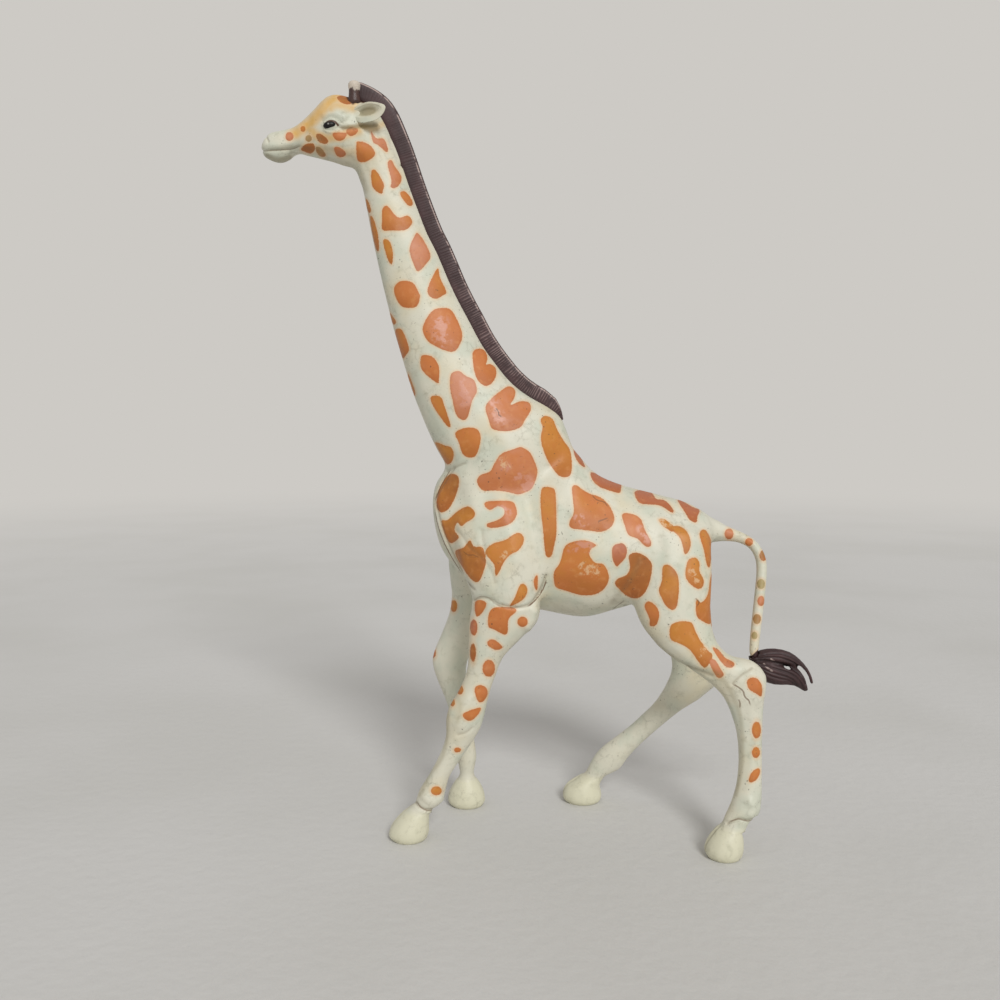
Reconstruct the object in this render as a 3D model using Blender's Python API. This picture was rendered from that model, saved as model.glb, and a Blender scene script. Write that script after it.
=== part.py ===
"""A toy giraffe of moulded PVC, walking, with its head towards -X and its own left side towards -Y.

The body, neck, head, limbs and tail are lofts through sections. A section lies in a plane that
holds the Y axis. A row of shares says where it meets the two outlines of the side view and how
far it reaches sideways. Each piece ends on a flat seam with a peg, and the piece that carries it
has a socket that leaves a clearance all round the peg.
"""
import bpy
import bmesh
from math import pi, sin
from mathutils import Vector

# Sizes that can be set, in metres
BODY_LENGTH = 0.068
BODY_DEPTH = 0.040
BODY_WIDTH = 0.0264
LEG_LENGTH = 0.0498
LEG_WIDTH = 0.010
NECK_REACH = 0.0295
NECK_RISE = 0.064
NECK_WIDTH = 0.0196
HEAD_LENGTH = 0.0291
HEAD_DEPTH = 0.0196
HEAD_WIDTH = 0.012
HOOF_LENGTH = 0.0096
HOOF_WIDTH = 0.0084
HOOF_HEIGHT = 0.0075
MANE_WIDTH = 0.0030
MANE_HEIGHT = 0.0036
MANE_ROOT = 0.0010
MANE_RIB_PITCH = 0.00235
MANE_RIB_DEPTH = 0.0003
EAR_LENGTH = 0.0076
EAR_HEIGHT = 0.0046
EAR_THICKNESS = 0.0014
EAR_SPREAD = 0.0036
OSSICONE_WIDTH = 0.0029
OSSICONE_HEIGHT = 0.0041
OSSICONE_ROOT = 0.0015
OSSICONE_SPACING = 0.0052
EYE_LENGTH = 0.0031
EYE_HEIGHT = 0.0022
EYE_DEPTH = 0.0020
TAIL_REACH = 0.0112
TAIL_DROP = 0.0275
TAIL_SWAY = 0.0070
TAIL_WIDTH = 0.0025
TUFT_LENGTH = 0.0140
TUFT_DROP = 0.0076
TUFT_THICKNESS = 0.0050
TUFT_WIDTH = 0.0042
PEG_LENGTH = 0.0026
CLEARANCE = 0.0003
OVERRUN = 0.0010

# Shares of a seam that its peg takes, at the root and at the tip
PEG_ROOT_SHARE = 0.50
PEG_TIP_SHARE = 0.42

# Sides of a section and smooth steps from one row of a table to the next
SIDES = 16
LIMB_SIDES = 12
TAIL_SIDES = 10
EYE_RINGS = 8
STEPS = 2

SIDEWAYS = Vector((0, 1, 0))
LEFT, RIGHT = -1, 1

# Belly x, belly height, back x, back height and half width, as shares of the body
BARREL_SHARES = (
    (0.000, 0.640, 0.000, 0.710, 0.12),
    (0.010, 0.525, 0.005, 0.775, 0.30),
    (0.030, 0.415, 0.025, 0.855, 0.45),
    (0.065, 0.325, 0.055, 0.890, 0.57),
    (0.110, 0.245, 0.105, 0.910, 0.64),
    (0.175, 0.175, 0.175, 0.920, 0.72),
    (0.250, 0.130, 0.250, 0.945, 0.80),
    (0.330, 0.070, 0.330, 0.975, 0.89),
    (0.410, 0.035, 0.410, 1.010, 0.95),
    (0.470, 0.015, 0.480, 1.035, 0.98),
    (0.515, 0.005, 0.530, 0.940, 1.00),
    (0.555, 0.010, 0.575, 0.865, 1.00),
    (0.605, 0.035, 0.630, 0.820, 0.99),
    (0.665, 0.065, 0.690, 0.785, 0.98),
    (0.725, 0.095, 0.760, 0.755, 0.94),
    (0.795, 0.135, 0.830, 0.725, 0.87),
    (0.865, 0.190, 0.890, 0.695, 0.77),
    (0.920, 0.265, 0.940, 0.650, 0.61),
    (0.960, 0.350, 0.975, 0.610, 0.42),
)
BARREL_TAPER_SHARE = 0.14

# The neck starts here on the body, and its rows run front x, front height, back x, back height
# and half width, as shares of the neck's reach, rise and width. The root is fused to the torso.
NECK_START_SHARE = (0.255, 1.020)
NECK_ROOT_SHARES = (
    (0.570, -0.235, -0.535, -0.120, 0.92),
    (0.530, -0.140, -0.550, -0.015, 1.00),
)
NECK_SHARES = (
    (0.490, -0.070, -0.500, 0.065, 1.00),
    (0.540, -0.025, -0.405, 0.135, 0.95),
    (0.605, 0.035, -0.235, 0.180, 0.88),
    (0.670, 0.105, -0.055, 0.240, 0.82),
    (0.735, 0.180, 0.075, 0.315, 0.76),
    (0.790, 0.255, 0.180, 0.380, 0.71),
    (0.855, 0.355, 0.295, 0.480, 0.67),
    (0.915, 0.450, 0.400, 0.570, 0.63),
    (0.960, 0.535, 0.485, 0.660, 0.59),
    (1.010, 0.630, 0.555, 0.735, 0.55),
    (1.060, 0.735, 0.635, 0.810, 0.52),
    (1.100, 0.825, 0.700, 0.890, 0.49),
    (1.135, 0.910, 0.765, 0.970, 0.46),
    (1.165, 0.975, 0.815, 1.040, 0.44),
)
NECK_TAPER_SHARE = 0.12

# Rows of the head run jaw x, jaw height, crown x, crown height and half width, as shares of the
# head, from the seam behind the jaw to the lips
HEAD_SHARES = (
    (0.170, -0.075, -0.185, 0.135, 0.72),
    (0.200, 0.060, -0.145, 0.315, 0.73),
    (0.220, 0.120, -0.090, 0.500, 0.77),
    (0.240, 0.150, -0.015, 0.735, 0.83),
    (0.265, 0.165, 0.075, 0.905, 0.88),
    (0.310, 0.180, 0.185, 0.995, 0.93),
    (0.350, 0.200, 0.275, 1.020, 0.98),
    (0.400, 0.225, 0.365, 1.050, 1.00),
    (0.475, 0.255, 0.455, 1.020, 0.90),
    (0.555, 0.285, 0.545, 0.885, 0.73),
    (0.640, 0.315, 0.640, 0.740, 0.62),
    (0.695, 0.335, 0.705, 0.665, 0.57),
    (0.760, 0.290, 0.770, 0.630, 0.57),
    (0.835, 0.235, 0.850, 0.605, 0.58),
    (0.900, 0.245, 0.920, 0.580, 0.53),
    (0.960, 0.290, 0.965, 0.510, 0.40),
    (0.990, 0.355, 0.990, 0.425, 0.20),
)
HEAD_TAPER_SHARE = 0.10

# Rows of a leg run front x, front height, back x, back height, half width and sideways place.
# The x is a share of the leg's length, from the leg's place on the body. A height of 0 is the
# top of the hoof and 1 is the belly line; above 1 it is a share of the body's depth.
LEFT_FORE_SHARES = (
    (-0.175, 1.770, 0.115, 1.820, 0.90, 0.34),
    (-0.240, 1.630, 0.195, 1.670, 1.20, 0.48),
    (-0.225, 1.450, 0.225, 1.470, 1.26, 0.61),
    (-0.185, 1.290, 0.215, 1.290, 1.20, 0.68),
    (-0.145, 1.160, 0.180, 1.165, 1.06, 0.72),
    (-0.155, 1.045, 0.155, 1.035, 0.92, 0.72),
    (-0.160, 0.950, 0.080, 0.925, 0.80, 0.71),
    (-0.160, 0.840, 0.005, 0.835, 0.68, 0.70),
    (-0.170, 0.745, -0.030, 0.735, 0.60, 0.68),
    (-0.205, 0.645, -0.060, 0.635, 0.58, 0.67),
    (-0.250, 0.555, -0.080, 0.525, 0.66, 0.64),
    (-0.265, 0.480, -0.100, 0.445, 0.64, 0.63),
    (-0.265, 0.395, -0.140, 0.360, 0.52, 0.61),
    (-0.290, 0.300, -0.195, 0.265, 0.46, 0.59),
    (-0.340, 0.185, -0.245, 0.170, 0.46, 0.57),
    (-0.390, 0.090, -0.265, 0.090, 0.54, 0.55),
    (-0.405, 0.035, -0.280, 0.030, 0.56, 0.55),
    (-0.430, 0.000, -0.330, -0.025, 0.50, 0.54),
)
RIGHT_FORE_SHARES = (
    (-0.045, 1.725, 0.240, 1.695, 1.00, 0.42),
    (-0.110, 1.505, 0.300, 1.475, 1.12, 0.55),
    (-0.120, 1.315, 0.280, 1.285, 1.12, 0.61),
    (-0.100, 1.095, 0.140, 1.065, 0.96, 0.67),
    (-0.115, 0.970, 0.080, 0.940, 0.84, 0.70),
    (-0.155, 0.850, 0.030, 0.820, 0.74, 0.72),
    (-0.195, 0.730, -0.020, 0.690, 0.68, 0.74),
    (-0.190, 0.640, -0.025, 0.590, 0.66, 0.77),
    (-0.150, 0.515, -0.025, 0.495, 0.56, 0.80),
    (-0.120, 0.420, -0.020, 0.405, 0.50, 0.83),
    (-0.095, 0.305, 0.000, 0.295, 0.44, 0.86),
    (-0.080, 0.200, 0.015, 0.205, 0.46, 0.89),
    (-0.075, 0.110, 0.025, 0.110, 0.52, 0.91),
    (-0.065, 0.045, 0.015, 0.045, 0.46, 0.92),
    (-0.060, 0.005, 0.010, 0.005, 0.42, 0.93),
)
LEFT_HIND_SHARES = (
    (-0.200, 1.595, 0.105, 1.525, 1.20, 0.38),
    (-0.260, 1.370, 0.110, 1.370, 1.30, 0.53),
    (-0.280, 1.190, 0.100, 1.200, 1.26, 0.65),
    (-0.240, 1.025, 0.090, 1.060, 1.14, 0.74),
    (-0.170, 0.915, 0.105, 0.950, 1.00, 0.80),
    (-0.075, 0.820, 0.140, 0.880, 0.84, 0.86),
    (0.030, 0.745, 0.195, 0.845, 0.72, 0.91),
    (0.100, 0.680, 0.270, 0.830, 0.68, 0.94),
    (0.140, 0.620, 0.330, 0.750, 0.66, 0.97),
    (0.170, 0.535, 0.315, 0.625, 0.58, 1.00),
    (0.190, 0.440, 0.305, 0.475, 0.48, 1.04),
    (0.195, 0.310, 0.300, 0.340, 0.46, 1.08),
    (0.180, 0.185, 0.295, 0.185, 0.50, 1.14),
    (0.150, 0.085, 0.285, 0.070, 0.58, 1.18),
    (0.125, 0.030, 0.245, 0.000, 0.52, 1.20),
    (0.110, -0.010, 0.215, -0.035, 0.50, 1.22),
)
RIGHT_HIND_SHARES = (
    (-0.220, 1.575, 0.080, 1.500, 1.20, 0.38),
    (-0.240, 1.320, 0.115, 1.310, 1.26, 0.52),
    (-0.195, 1.065, 0.125, 1.065, 1.12, 0.64),
    (-0.125, 0.860, 0.145, 0.875, 0.92, 0.73),
    (-0.070, 0.730, 0.185, 0.730, 0.80, 0.78),
    (-0.065, 0.610, 0.160, 0.540, 0.72, 0.83),
    (-0.130, 0.450, -0.005, 0.395, 0.62, 0.91),
    (-0.195, 0.365, -0.080, 0.320, 0.56, 0.95),
    (-0.270, 0.280, -0.170, 0.225, 0.52, 0.98),
    (-0.360, 0.195, -0.235, 0.145, 0.54, 1.02),
    (-0.420, 0.135, -0.280, 0.080, 0.58, 1.05),
    (-0.460, 0.065, -0.315, 0.020, 0.56, 1.08),
    (-0.490, -0.010, -0.395, -0.025, 0.48, 1.11),
)

# Each leg: its side, its place along the body, its rows, the row of its seam and how far its hoof
# lies behind the pastern's end as a share of the hoof
LEG_PLACE_SHARES = {
    "left_fore": (LEFT, 0.245, LEFT_FORE_SHARES, 4, -0.10),
    "right_fore": (RIGHT, 0.130, RIGHT_FORE_SHARES, 3, 0.00),
    "left_hind": (LEFT, 0.880, LEFT_HIND_SHARES, 4, -0.07),
    "right_hind": (RIGHT, 0.915, RIGHT_HIND_SHARES, 3, -0.25),
}

# Rows of a hoof run toe x, heel x, height and half width, as shares of the hoof, from the sole
# up. The x starts in the middle of the pastern's end. The rim is a share of the pastern's end.
HOOF_SHARES = (
    (-0.40, 0.42, 0.00, 0.84),
    (-0.50, 0.49, 0.12, 0.97),
    (-0.51, 0.48, 0.30, 1.00),
    (-0.42, 0.42, 0.58, 0.88),
)
HOOF_RIM_SHARE = 1.14

# Rows of the tail run x, height, half thickness and sway, as shares of the tail. The root is
# fused to the torso and the end runs inside the tuft.
TAIL_START_SHARE = (0.990, 0.520)
TAIL_ROOT_SHARES = (
    (-0.25, 0.01, 2.80, 0.00),
)
TAIL_SHARES = (
    (0.00, 0.00, 2.30, 0.00),
    (0.21, -0.02, 1.60, 0.02),
    (0.52, -0.05, 1.10, 0.08),
    (0.76, -0.10, 0.98, 0.16),
    (0.88, -0.16, 0.98, 0.24),
    (0.955, -0.25, 1.00, 0.32),
    (0.945, -0.37, 1.00, 0.43),
    (0.860, -0.58, 1.00, 0.62),
    (0.750, -0.82, 0.96, 0.85),
)
TAIL_END_SHARES = (
    (0.695, -0.95, 0.88, 0.97),
    (0.685, -1.00, 0.80, 1.00),
    (0.715, -1.05, 0.66, 1.00),
    (0.790, -1.08, 0.52, 1.00),
    (0.890, -1.09, 0.42, 1.00),
)

# The tuft starts here on the tail, and the rows of its strands run x, height, half thickness and
# half width, as shares of the tuft
TUFT_START_SHARE = (0.715, -1.05, 1.00)
UPPER_STRAND_SHARES = (
    (-0.09, -0.03, 0.30, 0.66),
    (0.11, 0.06, 0.60, 0.94),
    (0.32, 0.075, 0.70, 1.00),
    (0.54, 0.015, 0.60, 0.90),
    (0.70, -0.14, 0.42, 0.74),
    (0.82, -0.35, 0.30, 0.56),
    (0.90, -0.58, 0.20, 0.40),
    (0.94, -0.76, 0.11, 0.24),
)
LOWER_STRAND_SHARES = (
    (-0.06, -0.09, 0.30, 0.66),
    (0.14, -0.32, 1.00, 0.92),
    (0.36, -0.45, 1.10, 1.00),
    (0.56, -0.52, 0.91, 0.92),
    (0.72, -0.64, 0.74, 0.80),
    (0.805, -0.82, 0.51, 0.62),
    (0.855, -0.95, 0.28, 0.36),
)

# Along the mane from the withers to the brow: how far, and its height there
MANE_HEIGHT_SHARES = (
    (0.00, 0.12), (0.03, 0.55), (0.05, 0.78), (0.08, 0.97), (0.80, 0.97), (0.92, 1.10), (1.00, 1.17))
MANE_PROFILE_SHARES = ((-1.0, -1.0), (-1.0, 0.3), (-0.72, 1.0), (0.72, 1.0), (1.0, 0.3), (1.0, -1.0))

# The mane starts this far up the rows of the neck and ends this far along those of the head
MANE_SPAN_SHARES = (0.5, 5.5)

# Places on the head: x and height as shares of the head, y as a share of its half width
EAR_PLACE_SHARE = (0.200, 0.745, 0.72)
OSSICONE_PLACE_SHARE = (0.220, 0.960)
EYE_PLACE_SHARE = (0.400, 0.585, 0.93)

# Along an ear: how far, half height, half thickness. It starts inside the head, and each section
# is cupped by a share of its height.
EAR_CUP_SHARE = 0.35
EAR_SHARES = (
    (-0.22, 0.40, 0.90),
    (0.00, 0.56, 1.00),
    (0.22, 0.86, 1.00),
    (0.45, 1.00, 1.00),
    (0.70, 0.86, 0.90),
    (0.90, 0.50, 0.76),
    (1.00, 0.20, 0.50),
)
# Up an ossicone: height above the crown and half width
OSSICONE_SHARES = ((0.00, 1.00), (0.50, 0.92), (0.80, 0.98), (0.95, 0.78), (1.00, 0.40))

PAINTS = {
    "ivory": ((0.70, 0.66, 0.54, 1), 0.42),
    "cream": ((0.74, 0.68, 0.50, 1), 0.45),
    "brown": ((0.075, 0.040, 0.040, 1), 0.36),
    "black": ((0.010, 0.008, 0.008, 1), 0.12),
}


class Section:
    """A closed outline in the plane that holds two points of the side view and the Y axis."""

    def __init__(self, low, high, half):
        self.low = Vector(low)
        self.high = Vector(high)
        self.half = half

    def centre(self):
        return (self.low + self.high) / 2

    def reach(self):
        return (self.high - self.low) / 2

    def normal(self):
        return self.reach().cross(SIDEWAYS).normalized()

    def shifted(self, step):
        return Section(self.low + step, self.high + step, self.half)

    def grown(self, margin):
        step = self.reach().normalized() * margin
        return Section(self.low - step, self.high + step, self.half + margin)

    def scaled(self, share):
        centre = self.centre()
        return Section(centre.lerp(self.low, share), centre.lerp(self.high, share), self.half * share)


def spline(before, start, end, after, share):
    """The value between start and end on a smooth curve through all four."""
    bend = before * -1 + start * 3 - end * 3 + after
    curve = before * 2 - start * 5 + end * 4 - after
    slope = end - before
    return start + (slope + (curve + bend * share) * share) * share * 0.5


def smooth(sections, steps=STEPS):
    """The same sections with smooth steps between them; the row of a seam keeps its place."""
    padded = [sections[0]] + list(sections) + [sections[-1]]
    result = []
    for four in zip(padded, padded[1:], padded[2:], padded[3:]):
        for step in range(steps):
            share = step / steps
            result.append(Section(
                spline(*(section.low for section in four), share),
                spline(*(section.high for section in four), share),
                spline(*(section.half for section in four), share)))
    return result + [sections[-1]]


def circle_profile(sides):
    """Points of a unit circle, each sideways and along."""
    mesh = bmesh.new()
    ring = bmesh.ops.create_circle(mesh, segments=sides, radius=1)["verts"]
    points = [(vert.co.x, vert.co.y) for vert in ring]
    mesh.free()
    return points


def paint(name):
    if name in bpy.data.materials:
        return bpy.data.materials[name]
    colour, roughness = PAINTS[name]
    material = bpy.data.materials.new(name)
    material.use_nodes = True
    shader = material.node_tree.nodes["Principled BSDF"]
    shader.inputs["Base Color"].default_value = colour
    shader.inputs["Roughness"].default_value = roughness
    shader.inputs["Metallic"].default_value = 0
    material.diffuse_color = colour
    return material


def add_object(name, mesh, paint_name):
    """Turn a bmesh into an object; without a paint it is a guide for Boolean modifiers."""
    bmesh.ops.triangulate(mesh, faces=mesh.faces)
    bmesh.ops.recalc_face_normals(mesh, faces=mesh.faces)
    if mesh.calc_volume(signed=True) < 0:
        bmesh.ops.reverse_faces(mesh, faces=mesh.faces)
    data = bpy.data.meshes.new(name)
    mesh.to_mesh(data)
    mesh.free()
    data.shade_smooth()
    data.set_sharp_from_angle(angle=pi / 5)
    piece = bpy.data.objects.new(name, data)
    bpy.context.scene.collection.objects.link(piece)
    if paint_name:
        data.materials.append(paint(paint_name))
    else:
        piece.hide_render = True
        piece.display_type = "WIRE"
    return piece


def loft(name, sections, paint_name=None, profile=None, sides=SIDES, taper_share=0, cup_share=0):
    """Join the outlines of all sections, point by point, and close both ends."""
    mesh = bmesh.new()
    profile = profile or circle_profile(sides)
    rings = []
    for section in sections:
        ring = []
        cup = section.reach().length * cup_share
        for across, along in profile:
            sideways = section.half * across * (1 - taper_share * along) + cup * along * along
            place = section.centre() + section.reach() * along + SIDEWAYS * sideways
            ring.append(mesh.verts.new(place))
        rings.append(ring)
    for near, far in zip(rings, rings[1:]):
        for one, two, three, four in zip(near, near[1:] + near[:1], far[1:] + far[:1], far):
            mesh.faces.new((one, two, three, four))
    mesh.faces.new(rings[0])
    mesh.faces.new(rings[-1])
    return add_object(name, mesh, paint_name)


def boolean(piece, operation, other):
    modifier = piece.modifiers.new(f"{operation} {other.name}", "BOOLEAN")
    modifier.operation = operation
    modifier.solver = "EXACT"
    modifier.object = other


def peg(seam, way):
    """The peg beyond a seam: its root in the seam's plane and its tip."""
    root = seam.scaled(PEG_ROOT_SHARE)
    tip = seam.scaled(PEG_TIP_SHARE).shifted(seam.normal() * way * PEG_LENGTH)
    return [root, tip]


def socket(carrier, name, seam, way, **form):
    """Cut the hole for the peg that enters the carrier at a seam."""
    root, tip = [section.grown(CLEARANCE) for section in peg(seam, way)]
    mouth = root.shifted(seam.normal() * -way * OVERRUN)
    bottom = tip.shifted(seam.normal() * way * CLEARANCE)
    boolean(carrier, "DIFFERENCE", loft(name, [mouth, root, bottom], **form))


def bed(carriers, name, sections, **form):
    """Cut from each carrier the hollow in which a piece sits with clearance all round."""
    grown = [section.grown(CLEARANCE) for section in sections]
    grown[0] = grown[0].shifted((grown[0].centre() - grown[1].centre()).normalized() * CLEARANCE)
    grown[-1] = grown[-1].shifted((grown[-1].centre() - grown[-2].centre()).normalized() * CLEARANCE)
    hollow = loft(name, grown, **form)
    for carrier in carriers:
        boolean(carrier, "DIFFERENCE", hollow)


def body_point(x_share, height_share):
    return Vector((x_share * BODY_LENGTH, 0, LEG_LENGTH + height_share * BODY_DEPTH))


def neck_point(x_share, height_share):
    return body_point(*NECK_START_SHARE) + Vector((-x_share * NECK_REACH, 0, height_share * NECK_RISE))


def head_point(x_share, height_share):
    return neck_point(1, 1) + Vector((-x_share * HEAD_LENGTH, 0, height_share * HEAD_DEPTH))


def trunk_sections(shares, point, width):
    return [Section(point(low_x, low_z), point(high_x, high_z), half * width / 2)
            for low_x, low_z, high_x, high_z, half in shares]


def leg_height(share):
    if share > 1:
        return LEG_LENGTH + (share - 1) * BODY_DEPTH
    return HOOF_HEIGHT + share * (LEG_LENGTH - HOOF_HEIGHT)


def leg_sections(side, place_share, shares):
    start = place_share * BODY_LENGTH
    result = []
    for front, front_height, back, back_height, half, splay in shares:
        y = side * splay * BODY_WIDTH / 2
        low = (start + front * LEG_LENGTH, y, leg_height(front_height))
        high = (start + back * LEG_LENGTH, y, leg_height(back_height))
        result.append(Section(low, high, half * LEG_WIDTH / 2))
    return smooth(result)


def path_sections(points, half_heights, half_widths):
    """Sections square to a path of the side view."""
    ends = [points[0]] + points + [points[-1]]
    result = []
    for before, point, after, height, width in zip(ends, points, ends[2:], half_heights, half_widths):
        along = after - before
        outward = Vector((-along.z, 0, along.x)).normalized() * height
        result.append(Section(point - outward, point + outward, width))
    return result


def fuse_root(torso, name, sections, root_rows, outward, **form):
    """Fuse a limb's root to the torso and return the sections from the seam outwards."""
    cut = root_rows * STEPS
    boolean(torso, "UNION", loft(f"{name}_root", sections[:cut + 1], **form))
    seam = sections[cut]
    return [seam.shifted(seam.normal() * outward * CLEARANCE)] + sections[cut + 1:]


def clear_limb(torso, name, sections, outward, **form):
    """Keep the torso clear of a limb and cut the socket for its peg."""
    space = [section.grown(CLEARANCE) for section in sections]
    boolean(torso, "DIFFERENCE", loft(f"{name}_space", space, **form))
    socket(torso, f"{name}_socket", sections[0], -outward, **form)


def make_leg(name, sections, hoof_share):
    pastern = sections[-1]
    whole = peg(sections[0], 1)[::-1] + sections + peg(pastern, -1)
    loft(f"{name}_leg", whole, "ivory", sides=LIMB_SIDES)
    make_hoof(f"{name}_hoof", pastern.shifted(pastern.normal() * -CLEARANCE), hoof_share)


def make_hoof(name, seam, hoof_share):
    """A hoof with a flat sole on the floor and a socket for the pastern's peg."""
    centre = seam.centre() + Vector((hoof_share * HOOF_LENGTH, 0, 0))
    sections = []
    for toe, heel, height, half in HOOF_SHARES:
        low = (centre.x + toe * HOOF_LENGTH, centre.y, height * HOOF_HEIGHT)
        high = (centre.x + heel * HOOF_LENGTH, centre.y, height * HOOF_HEIGHT)
        sections.append(Section(low, high, half * HOOF_WIDTH / 2))
    sections = smooth(sections + [seam.scaled(HOOF_RIM_SHARE)])
    root, tip = [section.grown(CLEARANCE) for section in peg(seam, -1)]
    bottom = tip.shifted(seam.normal() * -CLEARANCE)
    loft(name, sections + [root, bottom], "cream", sides=LIMB_SIDES)


def tail_point(x, height, sway):
    step = Vector((x * TAIL_REACH, -sway * TAIL_SWAY, height * TAIL_DROP))
    return body_point(*TAIL_START_SHARE) + step


def tail_sections():
    rows = TAIL_ROOT_SHARES + TAIL_SHARES + TAIL_END_SHARES
    points = [tail_point(x, height, sway) for x, height, _, sway in rows]
    halves = [half * TAIL_WIDTH / 2 for _, _, half, _ in rows]
    return smooth(path_sections(points, halves, halves))


def make_tail(sections):
    loft("tail", peg(sections[0], 1)[::-1] + sections, "ivory", sides=TAIL_SIDES)
    inside = sections[-len(TAIL_END_SHARES) * STEPS:]
    bed([make_tuft()], "tuft_bed", inside, sides=TAIL_SIDES)


def make_strand(name, shares, paint_name=None):
    start = tail_point(*TUFT_START_SHARE)
    points = [start + Vector((x * TUFT_LENGTH, 0, z * TUFT_DROP)) for x, z, _, _ in shares]
    heights = [half * TUFT_THICKNESS / 2 for _, _, half, _ in shares]
    widths = [half * TUFT_WIDTH / 2 for _, _, _, half in shares]
    return loft(name, smooth(path_sections(points, heights, widths)), paint_name, sides=LIMB_SIDES)


def make_tuft():
    """The brown tuft: two strands of hair that part near their tips."""
    tuft = make_strand("tail_tuft", UPPER_STRAND_SHARES, "brown")
    boolean(tuft, "UNION", make_strand("lower_strand", LOWER_STRAND_SHARES))
    return tuft


def mane_line(neck, head):
    """Evenly spaced points up the back of the neck and over the crown, two to each rib."""
    start, end = (round(share * STEPS) for share in MANE_SPAN_SHARES)
    line = [section.high for section in neck[start:] + head[STEPS:end]]
    lengths = [(end - start).length for start, end in zip(line, line[1:])]
    count = 2 * round(sum(lengths) / MANE_RIB_PITCH)
    points = []
    for index in range(count + 1):
        left = sum(lengths) * index / count
        spot = 0
        while spot < len(lengths) - 1 and left > lengths[spot]:
            left -= lengths[spot]
            spot += 1
        points.append(line[spot].lerp(line[spot + 1], left / lengths[spot]))
    return points


def mane_height(share):
    for (start, low), (end, high) in zip(MANE_HEIGHT_SHARES, MANE_HEIGHT_SHARES[1:]):
        if share <= end:
            return MANE_HEIGHT * (low + (high - low) * (share - start) / (end - start))


def mane_sections(points, rib_depth):
    """Sections that stand on the back line; every other one is a groove between two ribs."""
    ends = [points[0]] + points + [points[-1]]
    result = []
    for index, (before, point, after) in enumerate(zip(ends, points, ends[2:])):
        along = after - before
        outward = Vector((along.z, 0, -along.x)).normalized()
        groove = rib_depth * (index % 2)
        height = mane_height(index / (len(points) - 1)) - groove
        low = point - outward * MANE_ROOT
        high = point + outward * height
        result.append(Section(low, high, MANE_WIDTH / 2 - groove))
    return result


def make_mane(neck_rows, head_rows, carriers):
    points = mane_line(neck_rows, head_rows)
    loft("mane", mane_sections(points, MANE_RIB_DEPTH), "brown", profile=MANE_PROFILE_SHARES)
    bed(carriers, "mane_bed", mane_sections(points, 0), profile=MANE_PROFILE_SHARES)


def make_ear(name, side, head):
    x_share, height_share, side_share = EAR_PLACE_SHARE
    root = head_point(x_share, height_share) + SIDEWAYS * side * side_share * HEAD_WIDTH / 2
    along = Vector((EAR_LENGTH, side * EAR_SPREAD, 0))
    up = Vector((0, 0, EAR_HEIGHT / 2))
    sections = [Section(root + along * far - up * height, root + along * far + up * height,
                        half * EAR_THICKNESS / 2) for far, height, half in EAR_SHARES]
    form = {"sides": TAIL_SIDES, "cup_share": side * EAR_CUP_SHARE}
    sections = smooth(sections)
    loft(name, sections, "ivory", **form)
    bed([head], f"{name}_bed", sections, **form)


def make_ossicone(name, side, head):
    base = head_point(*OSSICONE_PLACE_SHARE) + SIDEWAYS * side * OSSICONE_SPACING / 2
    rows = [(height * OSSICONE_HEIGHT, half) for height, half in OSSICONE_SHARES]
    sections = []
    for height, half in [(-OSSICONE_ROOT, 1)] + rows:
        centre = base + Vector((0, 0, height))
        forward = Vector((half * OSSICONE_WIDTH / 2, 0, 0))
        sections.append(Section(centre - forward, centre + forward, half * OSSICONE_WIDTH / 2))
    loft(name, sections, "brown", sides=LIMB_SIDES)
    bed([head], f"{name}_bed", sections, sides=LIMB_SIDES)


def make_eye(name, side, head):
    x_share, height_share, side_share = EYE_PLACE_SHARE
    centre = head_point(x_share, height_share) + SIDEWAYS * side * side_share * HEAD_WIDTH / 2
    for grow, paint_name, suffix in ((0, "black", ""), (CLEARANCE, None, "_bed")):
        mesh = bmesh.new()
        bmesh.ops.create_uvsphere(mesh, u_segments=LIMB_SIDES, v_segments=EYE_RINGS, radius=1)
        half_sizes = Vector((EYE_LENGTH, EYE_DEPTH, EYE_HEIGHT)) / 2 + Vector((grow, grow, grow))
        bmesh.ops.scale(mesh, vec=half_sizes, verts=mesh.verts)
        bmesh.ops.translate(mesh, vec=centre, verts=mesh.verts)
        ball = add_object(name + suffix, mesh, paint_name)
    boolean(head, "DIFFERENCE", ball)


def make_neck(sections):
    """The neck, with a peg for the shoulders and one for the head."""
    whole = peg(sections[0], -1)[::-1] + sections + peg(sections[-1], 1)
    return loft("neck", whole, "ivory", taper_share=NECK_TAPER_SHARE)


def make_head(neck_top):
    """The head without its beds and sockets; it starts a clearance above the neck."""
    rows = smooth(trunk_sections(HEAD_SHARES, head_point, HEAD_WIDTH))
    rows[0] = neck_top.shifted(neck_top.normal() * CLEARANCE)
    return loft("head", rows, "ivory", taper_share=HEAD_TAPER_SHARE), rows


def centre_on_origin():
    """Hang every object from one empty, so that the origin lies under the middle of the figure."""
    bpy.context.view_layer.update()
    corners = [piece.matrix_world @ Vector(corner) for piece in bpy.data.objects
               if not piece.hide_render for corner in piece.bound_box]
    low = Vector(min(corner[axis] for corner in corners) for axis in range(3))
    high = Vector(max(corner[axis] for corner in corners) for axis in range(3))
    stand = bpy.data.objects.new("stand", None)
    bpy.context.scene.collection.objects.link(stand)
    stand.location = (-(low.x + high.x) / 2, -(low.y + high.y) / 2, -low.z)
    for piece in bpy.data.objects:
        if piece is not stand:
            piece.parent = stand


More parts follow.
